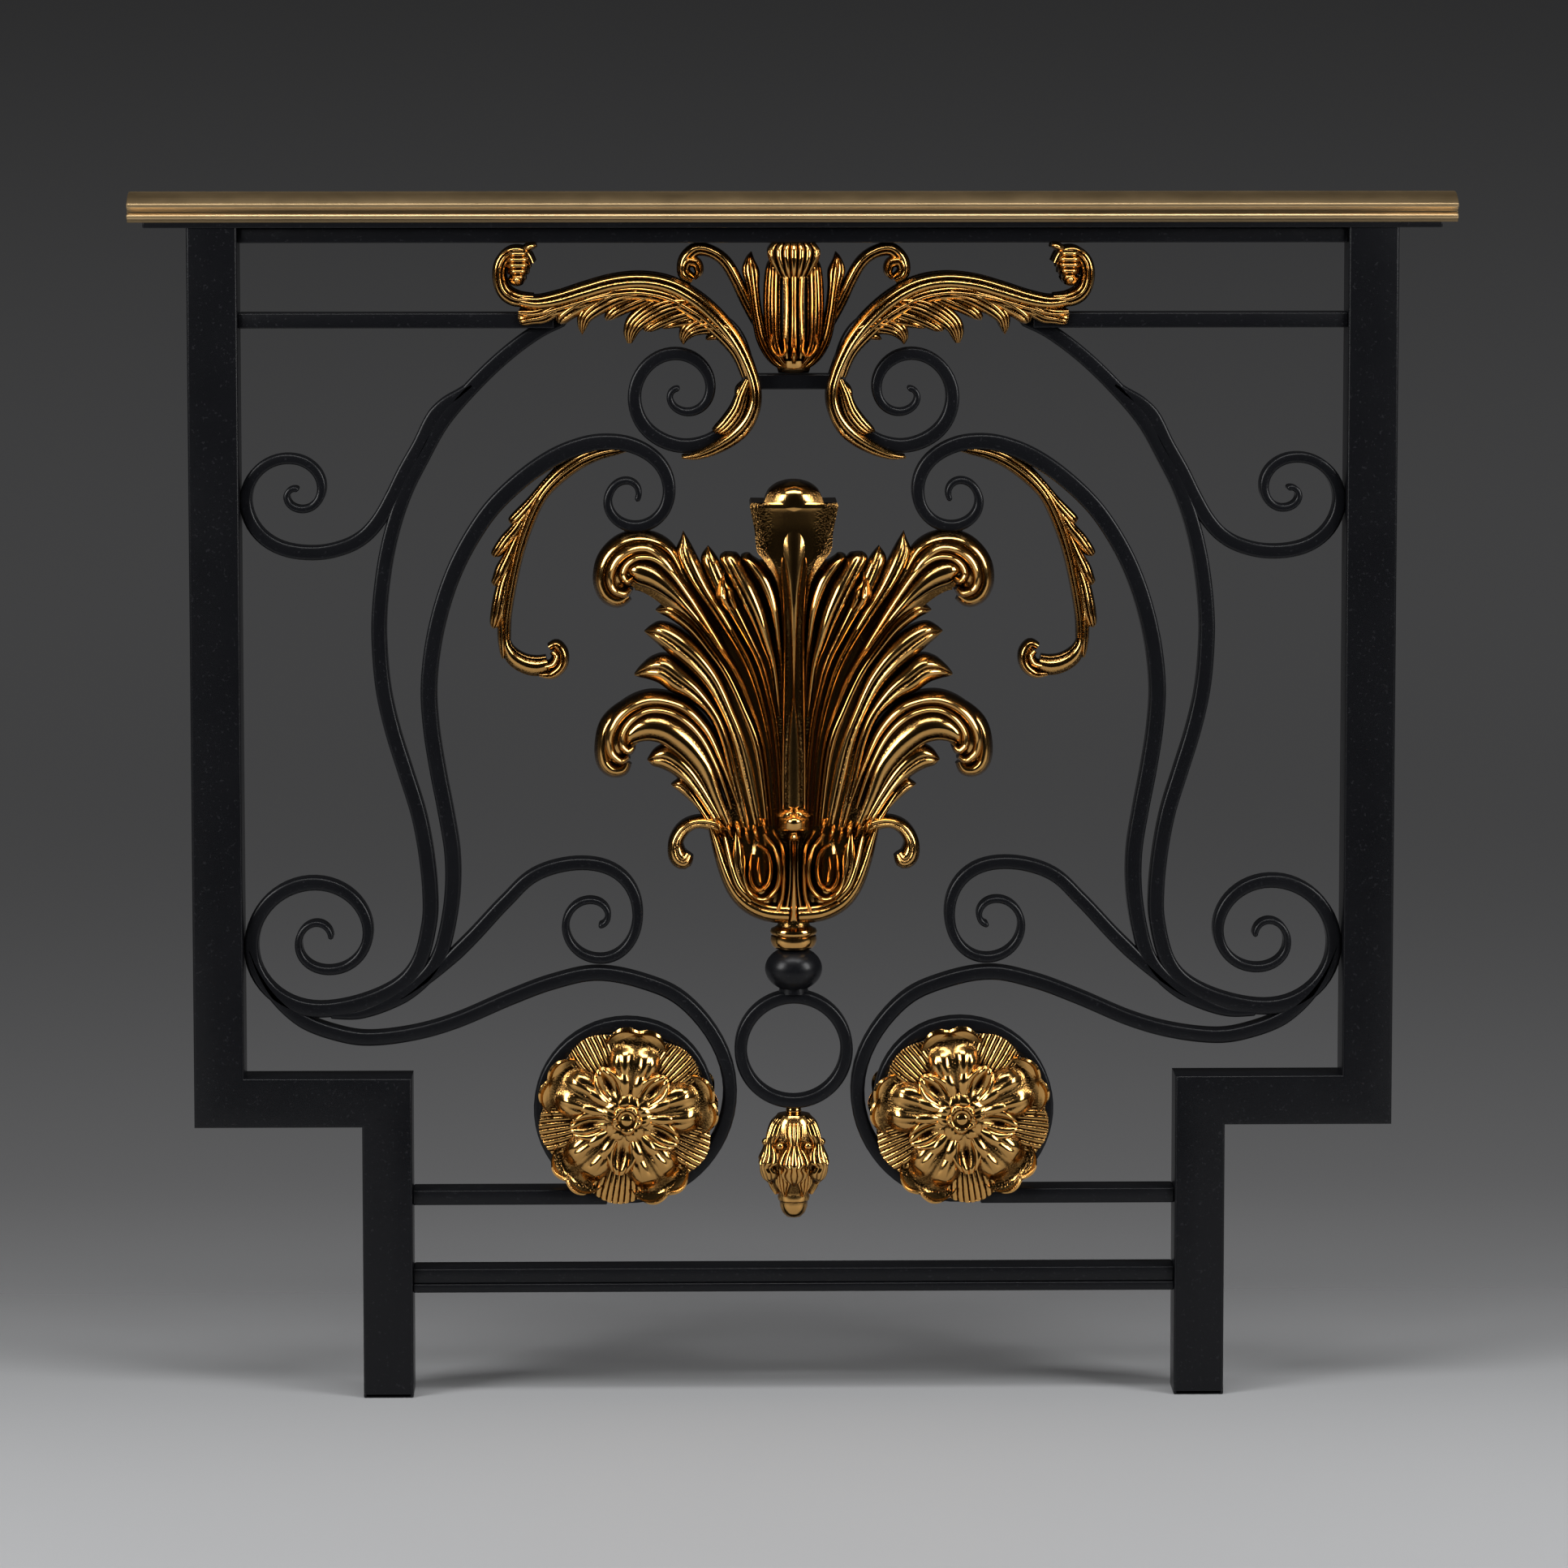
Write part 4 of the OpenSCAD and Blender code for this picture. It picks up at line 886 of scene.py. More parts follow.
    # middle: stem of the bowl, channel, neck with its dart, rolled top and the eye
    middle(bm, [(12, 385, 13), (9, 396, 18), (5.5, 415, 23), (5, 440, 25), (6, 456, 23)],
               reeds=(0, 0.3, 0.7, 1), edge=0.6)
    middle(bm, [(9, 470, 12), (9, 500, 13), (9, 550, 14.5), (8, 600, 17), (10, 636, 21), (14, 660, 23), (23, 675, 24),
                (29.5, 684, 23.5), (31, 698, 24), (34, 714, 26.5), (35, 719, 27.4), (34, 722, 26)], edge=1.08)
    middle(bm, [(7.6, 470, 13), (7.6, 500, 15), (6.4, 530, 16.5), (3, 556, 17), (0.6, 574, 16)], edge=0.9)
    middle(bm, [(0.8, 556, 17), (3, 588, 21), (5, 620, 24), (8, 648, 26.5), (12, 668, 27.5), (16, 682, 27),
                (18, 694, 25.4), (16, 704, 23)], edge=0.6)
    middle(bm, [(33, 712, 25), (33, 717, 27.6), (25, 720, 28.4), (22, 726, 28.6), (19, 731, 26.5), (13, 735.5, 22),
                (6, 738, 16)], edge=0.6)
    middle(bm, [(20, 460, 14), (15, 459, 24), (13, 464, 28), (12.5, 469, 27.5), (8, 473, 21), (3, 475, 16)], edge=0.5)
    middle(bm, [(14, 470, 24), (11, 474, 24), (5, 477.5, 18)], reeds=even(2))
    middle(bm, [(8, 451, 22), (6, 454, 27), (5, 458, 25)], edge=0.6)


def cartouche(bm):
    """Cup of striated leaves under a fluted block."""
    top = 927.3
    reed(bm, [(-79, 899, 2, 10), (-75, 904, 3.6, 13), (-77, 911, 4.4, 14), (-84, 912, 4.6, 14), (-86, 905, 4, 13),
              (-80, 899, 3.4, 12)], reeds=even(2))
    reed(bm, [(-26, 860, 5, 11), (-37, 880, 5, 12), (-45, 897, 5, 12.5), (-54, 912, 5, 13), (-65, 920, 5, 13),
              (-77, 922, 5.4, 13), (-86, 914, 5.4, 13), (-87, 903, 5, 12.5), (-80, 898, 4, 12)], reeds=TWO)
    leaf(bm, [(-5, 824, -2, 826, 12), (-19, 832, -12, 836, 17), (-29, 848, -20, 852, 19), (-34, 870, -25, 874, 19),
              (-37, 890, -27, 892, 18), (-41, 905, -27, 905, 16), (-38, 915, -31, 914, 12), (-34, 920, -33, 920, 6)],
             reeds=(0, 0.2, 0.42, 0.7, 1), valley=0.2)
    leaf(bm, [(-4, 826, -1, 828, 14), (-16, 836, -6, 838, 22), (-22, 852, -9, 853, 25), (-24, 872, -9, 873, 25),
              (-24, 888, -9, 890, 23), (-23, 902, -9, 903, 21), (-21, 911, -11, 910, 17), (-18, 914, -16, 914, 9)],
             reeds=(0, 0.18, 0.36, 0.55, 0.78, 1), valley=0.18)
    reed(bm, [(-16, 858, 2.4, 24), (-18, 846, 3, 26), (-12, 838, 3, 27), (-7, 842, 2.6, 26), (-8, 852, 2, 25)])
    mirror_x(bm)
    middle(bm, [(12, 824, 11), (13, 828, 19), (12, 834, 22)])
    middle(bm, [(8, 836, 20), (9, 850, 23), (8, 880, 22), (9, 904, 21)], reeds=(0, 0.3, 0.7, 1), edge=0.85)
    middle(bm, [(1.6, 845, 23), (1.8, 870, 26), (1.6, 900, 25)])
    middle(bm, [(3.5, 832, 23), (4.5, 838, 27), (2, 845, 26)])
    middle(bm, [(12, 900, 21), (16, 906, 25), (20, 915, 27), (21, 921, 26), (19, 925, 24), (17, top, 22)],
               reeds=(0, 0.14, 0.28, 0.42, 0.58, 0.72, 0.86, 1), valley=0.16, edge=0.7)


def spray(bm):
    """Long acanthus spray of the left half, laid over the iron."""
    form = {"back": IRON_FACE}
    # spine band
    reed(bm, [(-217, 882, 5, 11), (-203, 880, 6, 12.5), (-185, 883, 7, 13), (-165, 889, 7.5, 14),
              (-143, 895, 7.5, 14.5), (-120, 897, 7.5, 15), (-98, 893, 7.5, 16), (-78, 882, 7.5, 16.5),
              (-60, 866, 7.5, 16.5), (-46, 848, 7, 16), (-36, 828, 6, 15), (-31, 810, 5.5, 14), (-33, 794, 6, 13.5),
              (-42, 779, 6.5, 12), (-58, 767, 5.5, 10.5), (-76, 759, 3.6, 8.5), (-89, 757, 1, 4)], reeds=TWO, **form)
    # reeds that follow the spine
    reed(bm, [(-218, 872, 3, 9), (-205, 871, 5, 11), (-188, 875, 6, 12.5), (-168, 881, 6, 13.5), (-146, 886, 6.5, 14),
              (-122, 888, 6.5, 15), (-98, 883, 6.5, 15.5), (-76, 871, 6.5, 16), (-58, 856, 6, 15.5),
              (-45, 840, 5, 14.5), (-38, 822, 4, 13)], reeds=(0, 0.34, 0.66, 1), valley=0.2, **form)
    # lip under the barrel and the first hanging lobes
    leaf(bm, [(-190, 880, -186, 870, 12), (-202, 875, -196, 864, 12), (-212, 872, -206, 863, 11),
              (-218, 870, -214, 862, 9), (-219, 867, -218, 864, 4)], reeds=(0, 0.4, 0.75, 1), **form)
    leaf(bm, [(-150, 892, -138, 884, 13), (-168, 888, -158, 876, 13.5), (-182, 880, -172, 869, 12.5),
              (-190, 872, -180, 864, 10), (-188, 865, -184, 863, 5)], reeds=(0, 0.3, 0.6, 1), **form)
    leaf(bm, [(-128, 893, -118, 884, 14), (-148, 890, -136, 879, 14.5), (-163, 882, -150, 872, 13.5),
              (-171, 871, -160, 866, 11.5), (-171, 861, -164, 860, 8), (-168, 855, -167, 855, 4)],
             reeds=even(4), **form)
    leaf(bm, [(-112, 890, -104, 884, 13), (-130, 885, -120, 877, 13), (-145, 877, -134, 871, 12),
              (-150, 870, -142, 867, 9), (-149, 866, -146, 866, 4)], reeds=(0, 0.35, 0.68, 1), **form)
    # large middle lobe and its smaller lower tips
    leaf(bm, [(-84, 886, -72, 874, 15), (-104, 886, -90, 873, 16), (-120, 879, -104, 868, 15.5),
              (-132, 868, -115, 862, 13), (-135, 857, -122, 857, 10), (-132, 848, -128, 848, 4.5)],
             reeds=even(5), **form)
    leaf(bm, [(-80, 878, -72, 870, 13), (-98, 874, -88, 866, 13), (-112, 867, -102, 861, 11),
              (-119, 860, -112, 857, 8), (-118, 857, -116, 857, 4)], reeds=(0, 0.35, 0.68, 1), **form)
    leaf(bm, [(-70, 872, -64, 866, 12), (-86, 870, -78, 862, 12), (-99, 865, -92, 860, 10),
              (-105, 860, -101, 859, 5)], reeds=even(2), **form)
    # lobe over the crown scroll
    leaf(bm, [(-54, 866, -46, 848, 15), (-68, 872, -58, 854, 15.5), (-80, 870, -68, 855, 14),
              (-89, 862, -77, 854, 12), (-91, 853, -83, 851, 8), (-88, 847, -87, 847, 4)], reeds=even(5), **form)
    leaf(bm, [(-48, 854, -42, 842, 13), (-58, 857, -52, 847, 13), (-67, 855, -60, 850, 10), (-70, 851, -67, 850, 5)],
             reeds=(0, 0.4, 0.7, 1), **form)
    # leaf on the lower turn
    leaf(bm, [(-38, 822, -33, 818, 12), (-45, 810, -36, 804, 14), (-50, 798, -40, 790, 13.5),
              (-57, 788, -47, 780, 12), (-63, 781, -55, 775, 9), (-65, 778, -63, 777, 4)], reeds=even(4), **form)
    leaf(bm, [(-40, 818, -38, 812, 10), (-46, 812, -43, 804, 11), (-47, 804, -45, 799, 7)], reeds=even(2), **form)
    # rolled barrel with its ball
    reed(bm, [(-206, 883, 4, 10), (-219, 883, 6, 11.5), (-229, 889, 6, 13), (-233, 901, 5.6, 14),
              (-231, 913, 5.4, 15), (-223, 920, 5.2, 15), (-213, 919, 4.8, 15), (-208, 911, 4.2, 14)],
             reeds=(0, 0.34, 0.66, 1), **form)
    barrel_x, barrel_top, pitch = -218, 919.5, 4.6
    hoop = ((-1, 2.6, 2.6, 10), (-0.6, 3.2, 3, 16.5), (0, 3.6, 2.8, 18.5), (0.6, 3.2, 3, 16.5), (1, 2.6, 2.6, 10))
    for k, spread in enumerate((9, 10.5, 10, 8.5, 6)):
        z = barrel_top - pitch * k
        leaf(bm, [(barrel_x + spread * share, z - down, barrel_x + spread * share, z + up, crown)
                  for share, down, up, crown in hoop], edge=0.8, steps=4, **form)
    reed(bm, [(-226, 899, 1, 10), (-223.5, 899, 4.2, 15), (-219, 899, 5.4, 20), (-214.5, 899, 4.2, 15),
              (-212, 899, 1, 10)], **form)
    reed(bm, [(-214, 922, 3, 12), (-208, 925, 3.4, 12), (-204, 926, 2.4, 9)], **form)


def husk(bm):
    """Hanging leaf under the left inner scroll, alike on both faces."""
    for way in (1, -1):
        first = set(bm.verts)
        reed(bm, [(-126, 764, 1.5, 7), (-140, 763, 4.5, 9), (-156, 760, 6, 10), (-172, 753, 6.6, 11),
                  (-188, 741, 6.5, 11.5), (-201, 726, 5.5, 12), (-211, 706, 5.5, 12), (-219, 682, 5, 11.5),
                  (-225, 655, 4.6, 11), (-229, 630, 4.4, 10.5), (-230, 612, 4.6, 10)],
                 reeds=(0, 0.3, 0.62, 1), valley=0.22, edge=0.35)
        reed(bm, [(-229, 622, 2.5, 9), (-229, 608, 4, 9.5), (-224, 598, 6.5, 10), (-215, 592, 7.5, 10.5),
                  (-205, 590, 8, 11), (-196, 592, 7, 11)], reeds=(0, 0.14, 1), valley=0.3, edge=0.5)
        reed(bm, [(-203, 583, 2, 9), (-193, 583, 4, 11), (-185, 590, 4.6, 12), (-184, 600, 4.6, 12),
                  (-189, 607, 4, 11), (-195, 605, 3, 10)], reeds=even(2), edge=0.4)
        reed(bm, [(-198, 590, 3.4, 12), (-192, 592, 4, 14), (-189, 598, 4, 14.5), (-192, 602, 3.4, 13)], edge=0.4)
        for tip in (
                [(-188, 751, -186, 743, 8), (-200, 738, -196, 730, 10), (-212, 724, -206, 716, 11),
                 (-222, 714, -213, 706, 10), (-227, 708, -218, 702, 8), (-226, 704, -223, 702, 4)],
                [(-212, 722, -208, 712, 8), (-224, 704, -215, 700, 10), (-233, 694, -221, 692, 11),
                 (-239, 685, -227, 684, 10), (-241, 680, -233, 678, 7), (-239, 677, -237, 677, 4)],
                [(-222, 698, -216, 694, 8), (-231, 680, -221, 680, 10), (-237, 670, -224, 670, 11),
                 (-240, 661, -228, 662, 10), (-241, 657, -233, 656, 7), (-239, 654, -237, 654, 4)],
                [(-228, 674, -222, 670, 8), (-236, 658, -225, 656, 10), (-240, 643, -227, 642, 11),
                 (-242, 630, -230, 630, 10), (-242, 623, -234, 622, 7), (-240, 620, -238, 620, 4)],
                [(-232, 650, -226, 648, 8), (-236, 628, -227, 628, 9.5), (-236, 612, -226, 612, 10),
                 (-234.5, 601, -227, 601, 8), (-233, 596, -229, 596, 4)]):
            leaf(bm, tip, reeds=THREE, valley=0.25, edge=0.4)
        if way == -1:
            new = [v for v in bm.verts if v not in first]
            bmesh.ops.scale(bm, vec=(1, -1, 1), verts=new)


class PANEL_OT_castings(bpy.types.Operator):
    """Cast the palmette, the cartouche, the sprays and the husks"""
    bl_idname = "panel.castings"
    bl_label = "Leaf Castings"

    def execute(self, context):
        for build, name in ((palmette, "palmette"), (cartouche, "cartouche")):
            for face in FACES:
                casting(build, name, face=face)
        for side in SIDES:
            for face in FACES:
                casting(spray, "spray", side, face)
            casting(husk, "husk", side)
        return {"FINISHED"}


# ---------------------------------------------------------------- rosettes

def petal(bm, centre, turn, r0, tip, half, height, rows=14, cols=16, thick=3.0, shade_and_patina_level=None):
    """Thin petal laid out along and across; half, tip and height are functions of the place on it.

    tip(u) is the radius it reaches, half(v) its half width and height(u, v) its front above the plate."""
    a = math.radians(turn)
    along, side = (math.cos(a), math.sin(a)), (-math.sin(a), math.cos(a))
    rings, hollow, grain = [], [], []
    for i in range(rows + 1):
        v = i / rows
        ring, dark, lines = [], [], []
        us = [-1 + 2 * k / cols for k in range(cols + 1)]
        for face in (1, 0):
            for u in (us if face else reversed(us)):
                r = r0 + (tip(u) - r0) * v
                s = half(v) * u
                h = height(u, v) - (0 if face else thick)
                ring.append((centre[0] + along[0] * r + side[0] * s, centre[1] - max(h, 0.4),
                             centre[2] + along[1] * r + side[1] * s))
                # Patina and painted shade at each point: from the given function on the front, half dark on the back.
                dark.append(min(1.0, shade_and_patina_level(u, v)) if shade_and_patina_level and face else 0.5)
                lines.append((u * half(1) * MM, r * MM))
        ring.append(ring[0])
        dark.append(dark[0])
        lines.append(lines[0])
        rings.append(ring)
        hollow.append(dark)
        grain.append(lines)
    skin(bm, rings, hollow, grain)


def ripple(u, count):
    """Height of arched ridges across a petal, from 0 in the valleys to 1 on the crests."""
    return abs(math.sin(math.pi * count * (u + 1) / 2)) ** 0.7


def rosette(bm):
    """Five cupped petals over five striated fans, with folded petals between them, on the left boss."""
    centre, count, fan_turn, cup_turn = ROSETTE_AT, 5, 46, 82
    plate = ((0.2, 0), (56, 0), (57, -1.5), (54, -4), (44, -6), (30, -9), (20, -14), (0.2, -15))
    # The plate behind the petals is painted dark all over: patina and painted shade under them.
    turned(bm, plate, 60, centre, face_on=True, shade_and_patina_level=[0.8] * len(plate))
    turns = [360 / count * k for k in range(count)]
    for turn in turns:
        # Fan petals: painted dark in the valleys between their ridges and towards the centre, as patina and painted
        # shade.
        petal(bm, centre, turn + fan_turn, 20,
              lambda u: 71 - 8 * u * u, lambda v: 6 + 18 * v ** 0.8 - 3 * v ** 6,
              lambda u, v: 5 + 5 * math.sin(math.pi * min(v * 0.8, 1)) + 1.8 * ripple(u, 9) * min(1, 3 * v)
              - 2 * abs(u) ** 3, rows=14, cols=54, thick=3,
              shade_and_patina_level=lambda u, v: 0.9 * (1 - ripple(u, 9)) ** 0.8 + 0.55 * (1 - v) + 0.3 * abs(u) ** 4)

    def cup_height(u, v):
        bowl = 13.5 + 7.5 * math.sin(math.pi * min(v * 1.02, 1)) ** 0.8 * (1 - 0.2 * u * u) - 1.5 * v
        lobes = 2.6 * (1 - abs(math.sin(math.pi * u))) * (1 - (1 - v) ** 3)
        pleats = 1.8 * ripple(u, 5) * math.exp(-((v - 0.38) / 0.24) ** 2)
        dip = 6.4 * math.exp(-((v - 0.78) / 0.13) ** 2) * (0.45 + 0.55 * abs(math.sin(math.pi * u)))
        lip = 6.5 * math.exp(-((v - 0.98) / 0.06) ** 2)
        return bowl - lobes + pleats - dip + lip - 3 * abs(u) ** 4

    for turn in turns:
        # Cupped petals: painted dark along the middle, in the dip before the lip, between the pleats and towards the
        # centre, as patina and painted shade.
        petal(bm, centre, turn + cup_turn, 16,
              lambda u: 55 + 16 * (1 - abs(u) ** 2.6) ** 0.6 + 3 * abs(math.sin(math.pi * u * 0.9)),
              lambda v: 7.5 + 18.5 * v ** 0.7 - 1.5 * v ** 8, cup_height, rows=34, cols=44, thick=3.2,
              shade_and_patina_level=lambda u, v: 0.75 * (1 - abs(math.sin(math.pi * u))) ** 3 + 0.7 * math.exp(-((v - 0.8) / 0.10) ** 2)
              + 0.8 * (1 - ripple(u, 5)) ** 1.5 * math.exp(-((v - 0.38) / 0.24) ** 2)
              + 0.6 * (1 - v) ** 2 + 0.4 * abs(u) ** 6)
        for way in (-1, 1):
            # Side petals: painted dark at their edges, as patina and painted shade.
            petal(bm, centre, turn + cup_turn + way * 11, 18,
                  lambda u: 41 - 4 * u * u, lambda v: 3 + 2.6 * v,
                  lambda u, v: 20 + 3 * math.sin(math.pi * v) - 2.4 * u * u - 2 * v ** 6, rows=10, cols=8, thick=9,
                  shade_and_patina_level=lambda u, v: 0.9 * abs(u) ** 3 + 0.4 * v ** 3)
    for turn in turns:
        # Folded petals: painted dark down the middle fold and at the tip, as patina and painted shade.
        petal(bm, centre, turn + fan_turn, 19,
              lambda u: 46 - 7 * u * u, lambda v: 5 + 6.5 * math.sin(math.pi * min(0.15 + 0.62 * v, 1)),
              lambda u, v: 19 + 4 * v - 6.5 * (1 - abs(u)) ** 1.4 * math.sin(math.pi * min(v + 0.1, 1))
              + 1.6 * ripple(u, 4) - 5 * v ** 5, rows=14, cols=20, thick=6,
              shade_and_patina_level=lambda u, v: 0.95 * (1 - abs(u)) ** 1.5 * math.sin(math.pi * min(v + 0.1, 1)) + 0.3 * v ** 4)
        for way in (-1, 1):
            petal(bm, centre, turn + fan_turn + way * 19, 20,
                  lambda u: 50 - 5 * u * u, lambda v: 2.4 + 2.6 * v,
                  lambda u, v: 16 + 3 * math.sin(math.pi * v) - 2 * u * u, rows=8, cols=8, thick=8,
                  shade_and_patina_level=lambda u, v: 0.8 * abs(u) ** 3)


class PANEL_OT_rosettes(bpy.types.Operator):
    """Cast the four rosettes and the buds that hold them"""
    bl_idname = "panel.rosettes"
    bl_label = "Rosettes"

    def execute(self, context):
        for side in SIDES:
            for face in FACES:
                casting(rosette, "rosette", side, face)
        bm = bmesh.new()
        bud = ((0.2, -13), (17, -13), (18, -17), (15, -20), (9, -22), (7.2, -22.6), (7.6, -24), (6.8, -25.2),
               (5.2, -25), (4.4, -24.4), (4.2, -26), (3, -26.8), (0.2, -27))
        # Darkness in the bud's grooves and under its rim: patina and painted shade.
        turned(bm, bud, 48, ROSETTE_AT, face_on=True,
               shade_and_patina_level=[0.9, 0.7, 0.6, 0.8, 0.9, 0.9, 0.2, 0, 0.5, 0.9, 0.1, 0, 0])
        for turn, tip, wide, lift in ((46, 27, 10, 18.5), (82, 23, 9, 20.5), (60, 15, 6.5, 23)):
            for k in range(5):
                # Small petals: painted dark down the middle, at the edges and at both ends, as patina and painted
                # shade.
                petal(bm, ROSETTE_AT, 72 * k + turn, 6,
                      lambda u: tip - 6 * abs(u) ** 1.6, lambda v: wide * (0.5 + 0.6 * v ** 0.8 - 0.2 * v ** 4),
                      lambda u, v: lift + 2.4 * math.sin(math.pi * min(v * 1.1, 1)) - 1.6 * v ** 3
                      - 1.5 * (1 - abs(u)) ** 2 * v + 0.5 * ripple(u, 4) * v,
                      rows=12, cols=20, thick=6,
                      shade_and_patina_level=lambda u, v: 0.6 * (1 - abs(u)) ** 2 * v + 0.7 * abs(u) ** 5
                      + 0.5 * v ** 6 + 0.5 * (1 - v) ** 3)
        mirror_x(bm)
        copy = bmesh.ops.duplicate(bm, geom=bm.verts[:] + bm.edges[:] + bm.faces[:])["geom"]
        bmesh.ops.scale(bm, vec=(1, -1, 1), verts=[g for g in copy if isinstance(g, bmesh.types.BMVert)])
        piece("rosette_buds_cast", bm, "cast_brass", ("rosette_buds",))
        return {"FINISHED"}


# ---------------------------------------------------------------- turned brass and the drop

def hanging_leaf(bm, turn, stations, count, thick=3.0):
    """Leaf that wraps a round core; a station is (height, radius, half width in degrees, swell)."""
    run = smooth(stations, 4)
    rings, hollow, grain = [], [], []
    cols = 6 * count
    for i, (z, r, half, swell) in enumerate(run):
        ring, dark, lines = [], [], []
        us = [-1 + 2 * k / cols for k in range(cols + 1)]
        for face in (1, 0):
            for u in (us if face else reversed(us)):
                a = math.radians(turn + half * u)
                crest = ripple(u, count)
                reach = r + swell * (1 - abs(u) ** 2.5) + (1.8 * crest - 0.7 if face else -thick)
                drop = 3.2 * u * u * (i / len(run)) ** 3
                ring.append((reach * math.sin(a), -reach * math.cos(a), z + drop))
                # Painted dark in the valleys between the ridges and at the edges, as patina and painted shade. The
                # back is painted dark all over.
                dark.append(min(1, 0.8 * (1 - crest) + 0.5 * abs(u) ** 5) if face else 0.8)
                lines.append((u * 0.012, z * MM))
        for made in (ring, dark, lines):
            made.append(made[0])
        rings.append(ring)
        hollow.append(dark)
        grain.append(lines)
    skin(bm, rings, hollow, grain)


class PANEL_OT_drop(bpy.types.Operator):
    """Make the leafed drop, its stem and the collar under the palmette"""
    bl_idname = "panel.drop"
    bl_label = "Drop and Collar"

    def execute(self, context):
        bm = bmesh.new()
        core = ((0.2, 228), (8, 228), (13, 227), (17, 222), (19, 208), (20, 194), (19, 180), (15, 170), (12.6, 165),
                (12.4, 162), (13, 159.5), (12.6, 157), (11.4, 156.2), (11.2, 152), (9.4, 147), (6, 143.4), (0.2, 142))
        # Darkness down the core, in its grooves and under the leaves: patina and painted shade.
        turned(bm, core, 60, shade_and_patina_level=[0.3] * 4 + [0.9] * 5 + [0.4, 0, 0.5, 0.7, 0.1, 0, 0, 0])
        for k in range(6):
            hanging_leaf(bm, 60 * k, [(227, 9, 30, 2), (221, 15, 29, 3), (212, 18, 25, 4), (204, 20, 17, 4),
                                      (197, 22, 27, 4), (190, 25, 31, 4), (186, 25, 20, 4), (181, 25, 27, 3),
                                      (176, 24, 22, 2), (173, 22, 11, 1), (171, 20, 4, 1)], 5)
            hanging_leaf(bm, 60 * k + 30, [(202, 17, 12, 3), (192, 18, 21, 3), (184, 19, 27, 3), (179, 18, 17, 3),
                                           (173, 18, 23, 2), (167, 16, 16, 2), (161, 13, 6, 1)], 5)
        # an eye between the leaves
        eye_r, eye_out, eye_z = 3.2, 22.5, 204
        for k in range(6):
            a = math.radians(60 * k + 30)
            eye_at = (eye_out * math.sin(a), -eye_out * math.cos(a), eye_z)
            made = bmesh.ops.create_uvsphere(bm, u_segments=16, v_segments=10, radius=eye_r * MM)["verts"]
            bmesh.ops.translate(bm, vec=Vector(eye_at) * MM, verts=made)
        piece("leafed_drop", bm, "cast_brass", ("drop_finial",))
        bm = bmesh.new()
        # Darkness in the neck's groove: patina and painted shade.
        turned(bm, ((0.2, 228.2), (6, 228.2), (6.4, 229.5), (6, 231), (5.4, 233), (0.2, 233)), 32,
               shade_and_patina_level=[0, 0.2, 0, 0.3, 0.5, 0])
        piece("drop_neck", bm, "cast_brass", ("finial_stem",))
        bm = bmesh.new()
        # Darkness in the collar's grooves and under its bead: patina and painted shade.
        turned(bm, ((0.2, 361.2), (13, 361.2), (15.6, 362), (17.6, 364.5), (18.6, 368), (18.2, 371.5), (17, 372.4),
                    (18.4, 373.6), (18.9, 375.4), (18, 377.4), (15.4, 378.6), (13.2, 380), (12.4, 383), (12.4, 384.8),
                    (0.2, 384.8)), 64, shade_and_patina_level=[0, 0.2, 0, 0, 0, 0.3, 0.9, 0.4, 0, 0, 0.3, 0.8, 0.5, 0.8, 0])
        piece("collar_turned", bm, "cast_brass", ("palmette_collar",))
        return {"FINISHED"}


class PANEL_OT_fixings(bpy.types.Operator):
    """Give the screws, studs and pins their finish"""
    bl_idname = "panel.fixings"
    bl_label = "Fixings"

    def execute(self, context):
        for name in ("rail_screws", "rosette_studs", "palmette_pins"):
            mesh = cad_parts[name].data
            mesh.materials.clear()
            mesh.materials.append(paint("iron_paint" if name == "palmette_pins" else "fixing_steel"))
        return {"FINISHED"}


# ---------------------------------------------------------------- stage

def softbox(name, at, aim, width, height, power):
    """Large rectangular lamp that points at a spot."""
    lamp = bpy.data.lights.new(name, "AREA")
    lamp.shape = "RECTANGLE"
    lamp.size, lamp.size_y = width, height
    lamp.energy = power
    obj = bpy.data.objects.new(name, lamp)
    bpy.context.scene.collection.objects.link(obj)
    obj.location = at
    obj.rotation_euler = (Vector(aim) - Vector(at)).to_track_quat("-Z", "Y").to_euler()


def backdrop(world, tone):
    """Dark studio backdrop, a little lighter towards the floor."""
    r = Recipe("backdrop", world)
    toward = r.node("ShaderNodeTexCoord", {}, output="Generated")
    height = r.node("ShaderNodeSeparateXYZ", {}, {0: toward}, output="Z")
    depth = r.node("ShaderNodeSeparateXYZ", {}, {0: toward}, output="Y")
    low = r.fade(height, -0.11, -0.24)
    high = r.fade(height, -0.12, 0.06)
    colour = r.mix(low, shade(tone), shade(tone, 2.6))
    colour = r.mix(high, colour, shade(tone, 0.35))
    colour = r.mix(r.fade(depth, 0.5, -0.4), colour, shade(tone, 0.15))
    glow = r.node("ShaderNodeBackground", {}, {"Color": colour})
    r.node("ShaderNodeOutputWorld", {}, {"Surface": glow}, output=None)


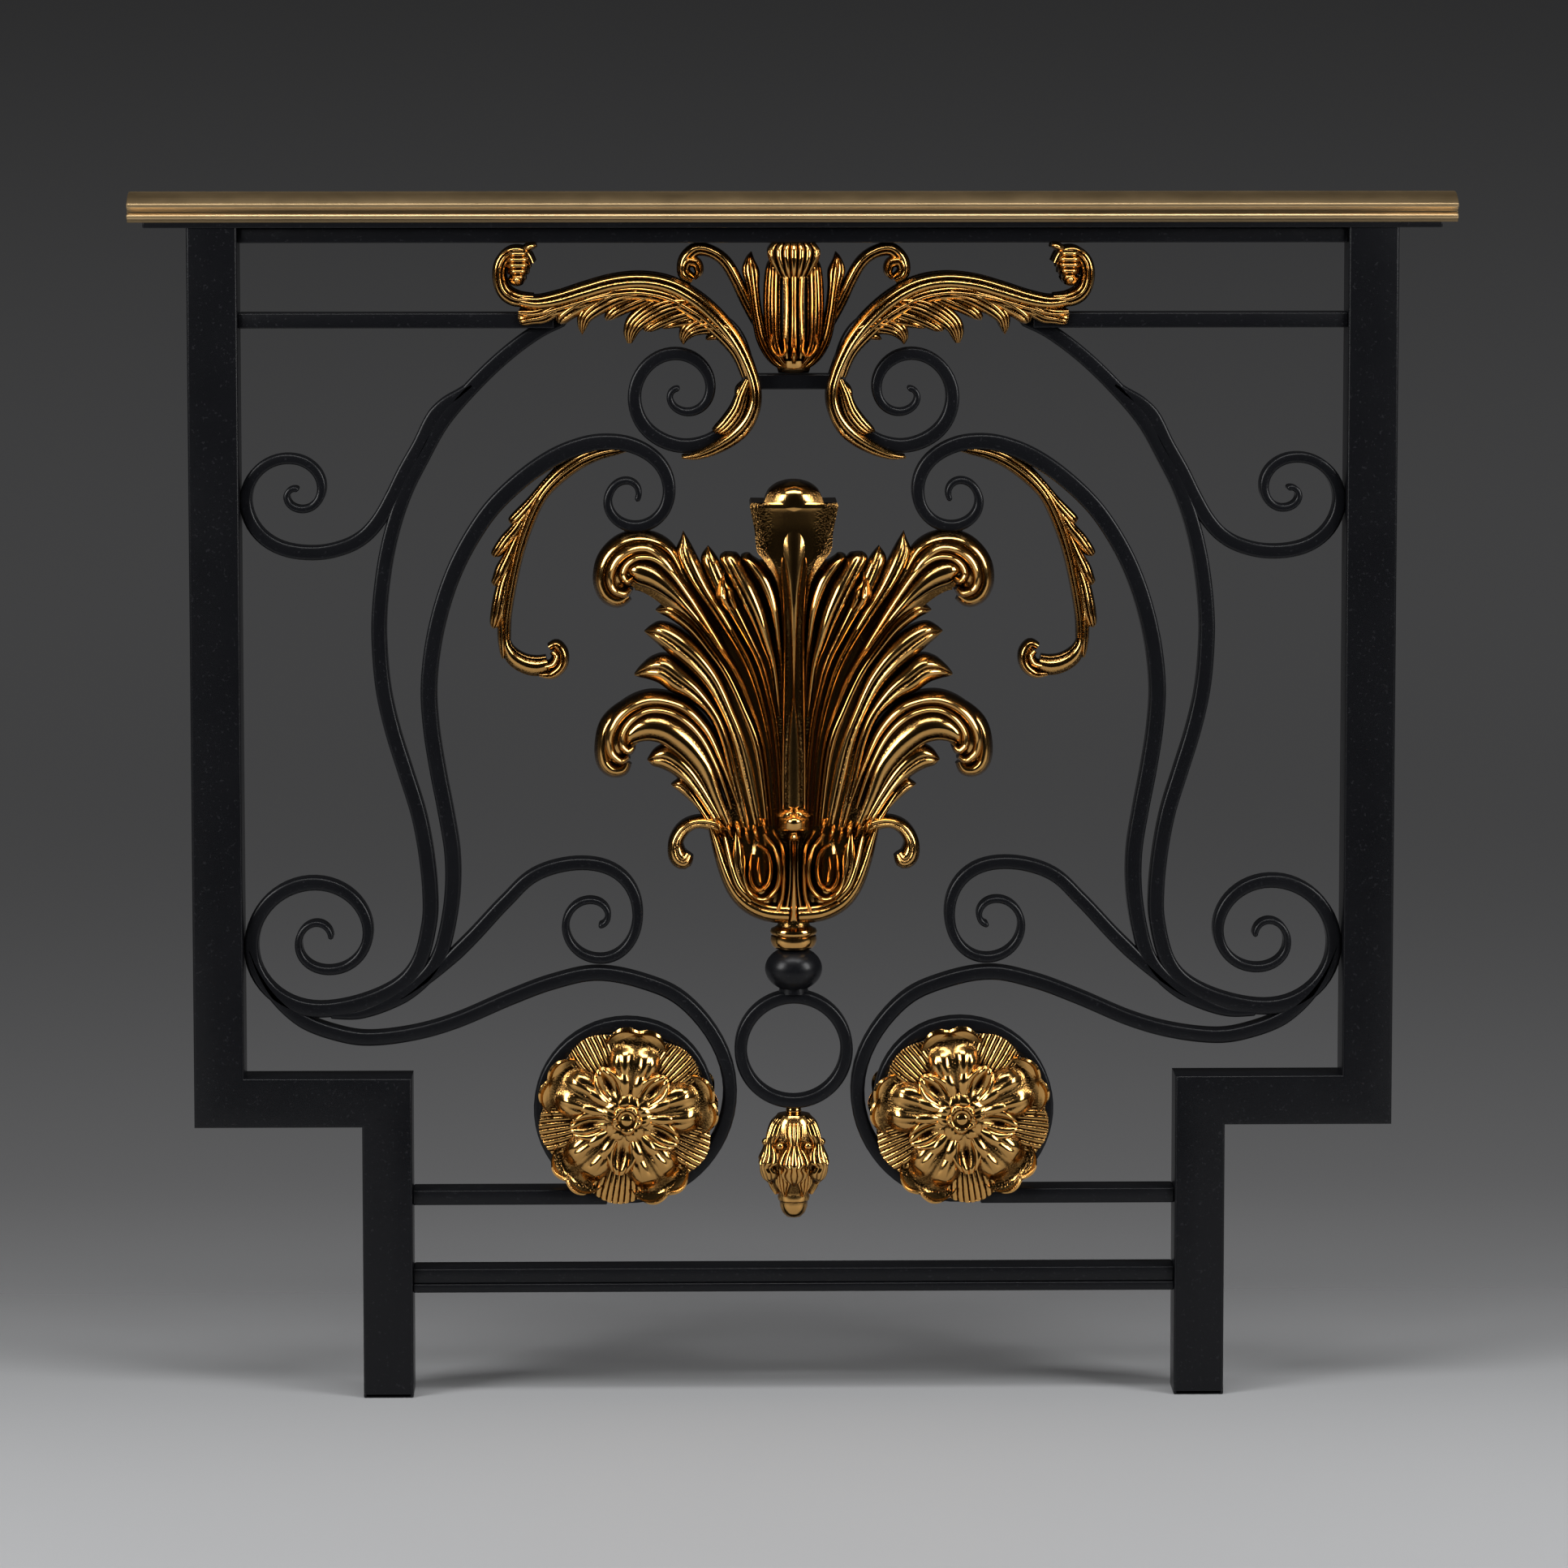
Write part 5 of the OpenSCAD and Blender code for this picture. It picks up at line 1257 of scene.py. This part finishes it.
class PANEL_OT_stage(bpy.types.Operator):
    """Lay the floor, hang the lights and set the camera"""
    bl_idname = "panel.stage"
    bl_label = "Stage"

    def execute(self, context):
        scene = bpy.context.scene
        stage = scene.panel_stage
        bm = bmesh.new()
        bmesh.ops.create_grid(bm, x_segments=24, y_segments=24, size=FLOOR_HALF)
        mesh = bpy.data.meshes.new("studio_floor")
        bm.to_mesh(mesh)
        bm.free()
        mesh.materials.append(pale_floor(stage.floor))
        floor = bpy.data.objects.new("studio_floor", mesh)
        scene.collection.objects.link(floor)

        world = bpy.data.worlds.new("studio")
        scene.world = world
        backdrop(world, stage.backdrop)

        for lamp in SOFTBOXES:
            softbox(*lamp)

        camera = bpy.data.cameras.new("camera")
        camera.lens = LENS
        camera.sensor_width = SENSOR
        camera.shift_x = SHIFT_X
        camera.shift_y = SHIFT_Y
        camera.clip_end = CLIP_END
        seat = bpy.data.objects.new("camera", camera)
        scene.collection.objects.link(seat)
        seat.location = (CAMERA_X, -stage.distance, CAMERA_Z)
        seat.rotation_euler = (math.radians(90 - CAMERA_DOWN), 0, math.radians(CAMERA_TURN))
        scene.camera = seat
        scene.view_settings.view_transform = "Standard"
        return {"FINISHED"}


# ---------------------------------------------------------------- panel and registration

STEPS = (PANEL_OT_frame, PANEL_OT_scrolls, PANEL_OT_centre_iron, PANEL_OT_handrail, PANEL_OT_castings,
         PANEL_OT_rosettes, PANEL_OT_drop, PANEL_OT_fixings, PANEL_OT_stage)


class VIEW3D_PT_iron_panel(bpy.types.Panel):
    """Buttons for each group of pieces"""
    bl_label = "Iron Panel"
    bl_idname = "VIEW3D_PT_iron_panel"
    bl_space_type = "VIEW_3D"
    bl_region_type = "UI"
    bl_category = "Iron Panel"

    def draw(self, context):
        for step in STEPS:
            self.layout.operator(step.bl_idname)
        for name, group in SETTINGS:
            box = self.layout.box()
            for key in group.__annotations__:
                box.prop(getattr(context.scene, name), key)


def register():
    for name, group in SETTINGS:
        bpy.utils.register_class(group)
        setattr(bpy.types.Scene, name, bpy.props.PointerProperty(type=group))
    for step in STEPS:
        bpy.utils.register_class(step)
    bpy.utils.register_class(VIEW3D_PT_iron_panel)


def unregister():
    bpy.utils.unregister_class(VIEW3D_PT_iron_panel)
    for step in reversed(STEPS):
        bpy.utils.unregister_class(step)
    for name, group in SETTINGS:
        delattr(bpy.types.Scene, name)
        bpy.utils.unregister_class(group)


def main():
    register()
    bpy.ops.panel.frame()
    bpy.ops.panel.scrolls()
    bpy.ops.panel.centre_iron()
    bpy.ops.panel.handrail()
    bpy.ops.panel.castings()
    bpy.ops.panel.rosettes()
    bpy.ops.panel.drop()
    bpy.ops.panel.fixings()
    bpy.ops.panel.stage()


if __name__ == "__main__":
    main()
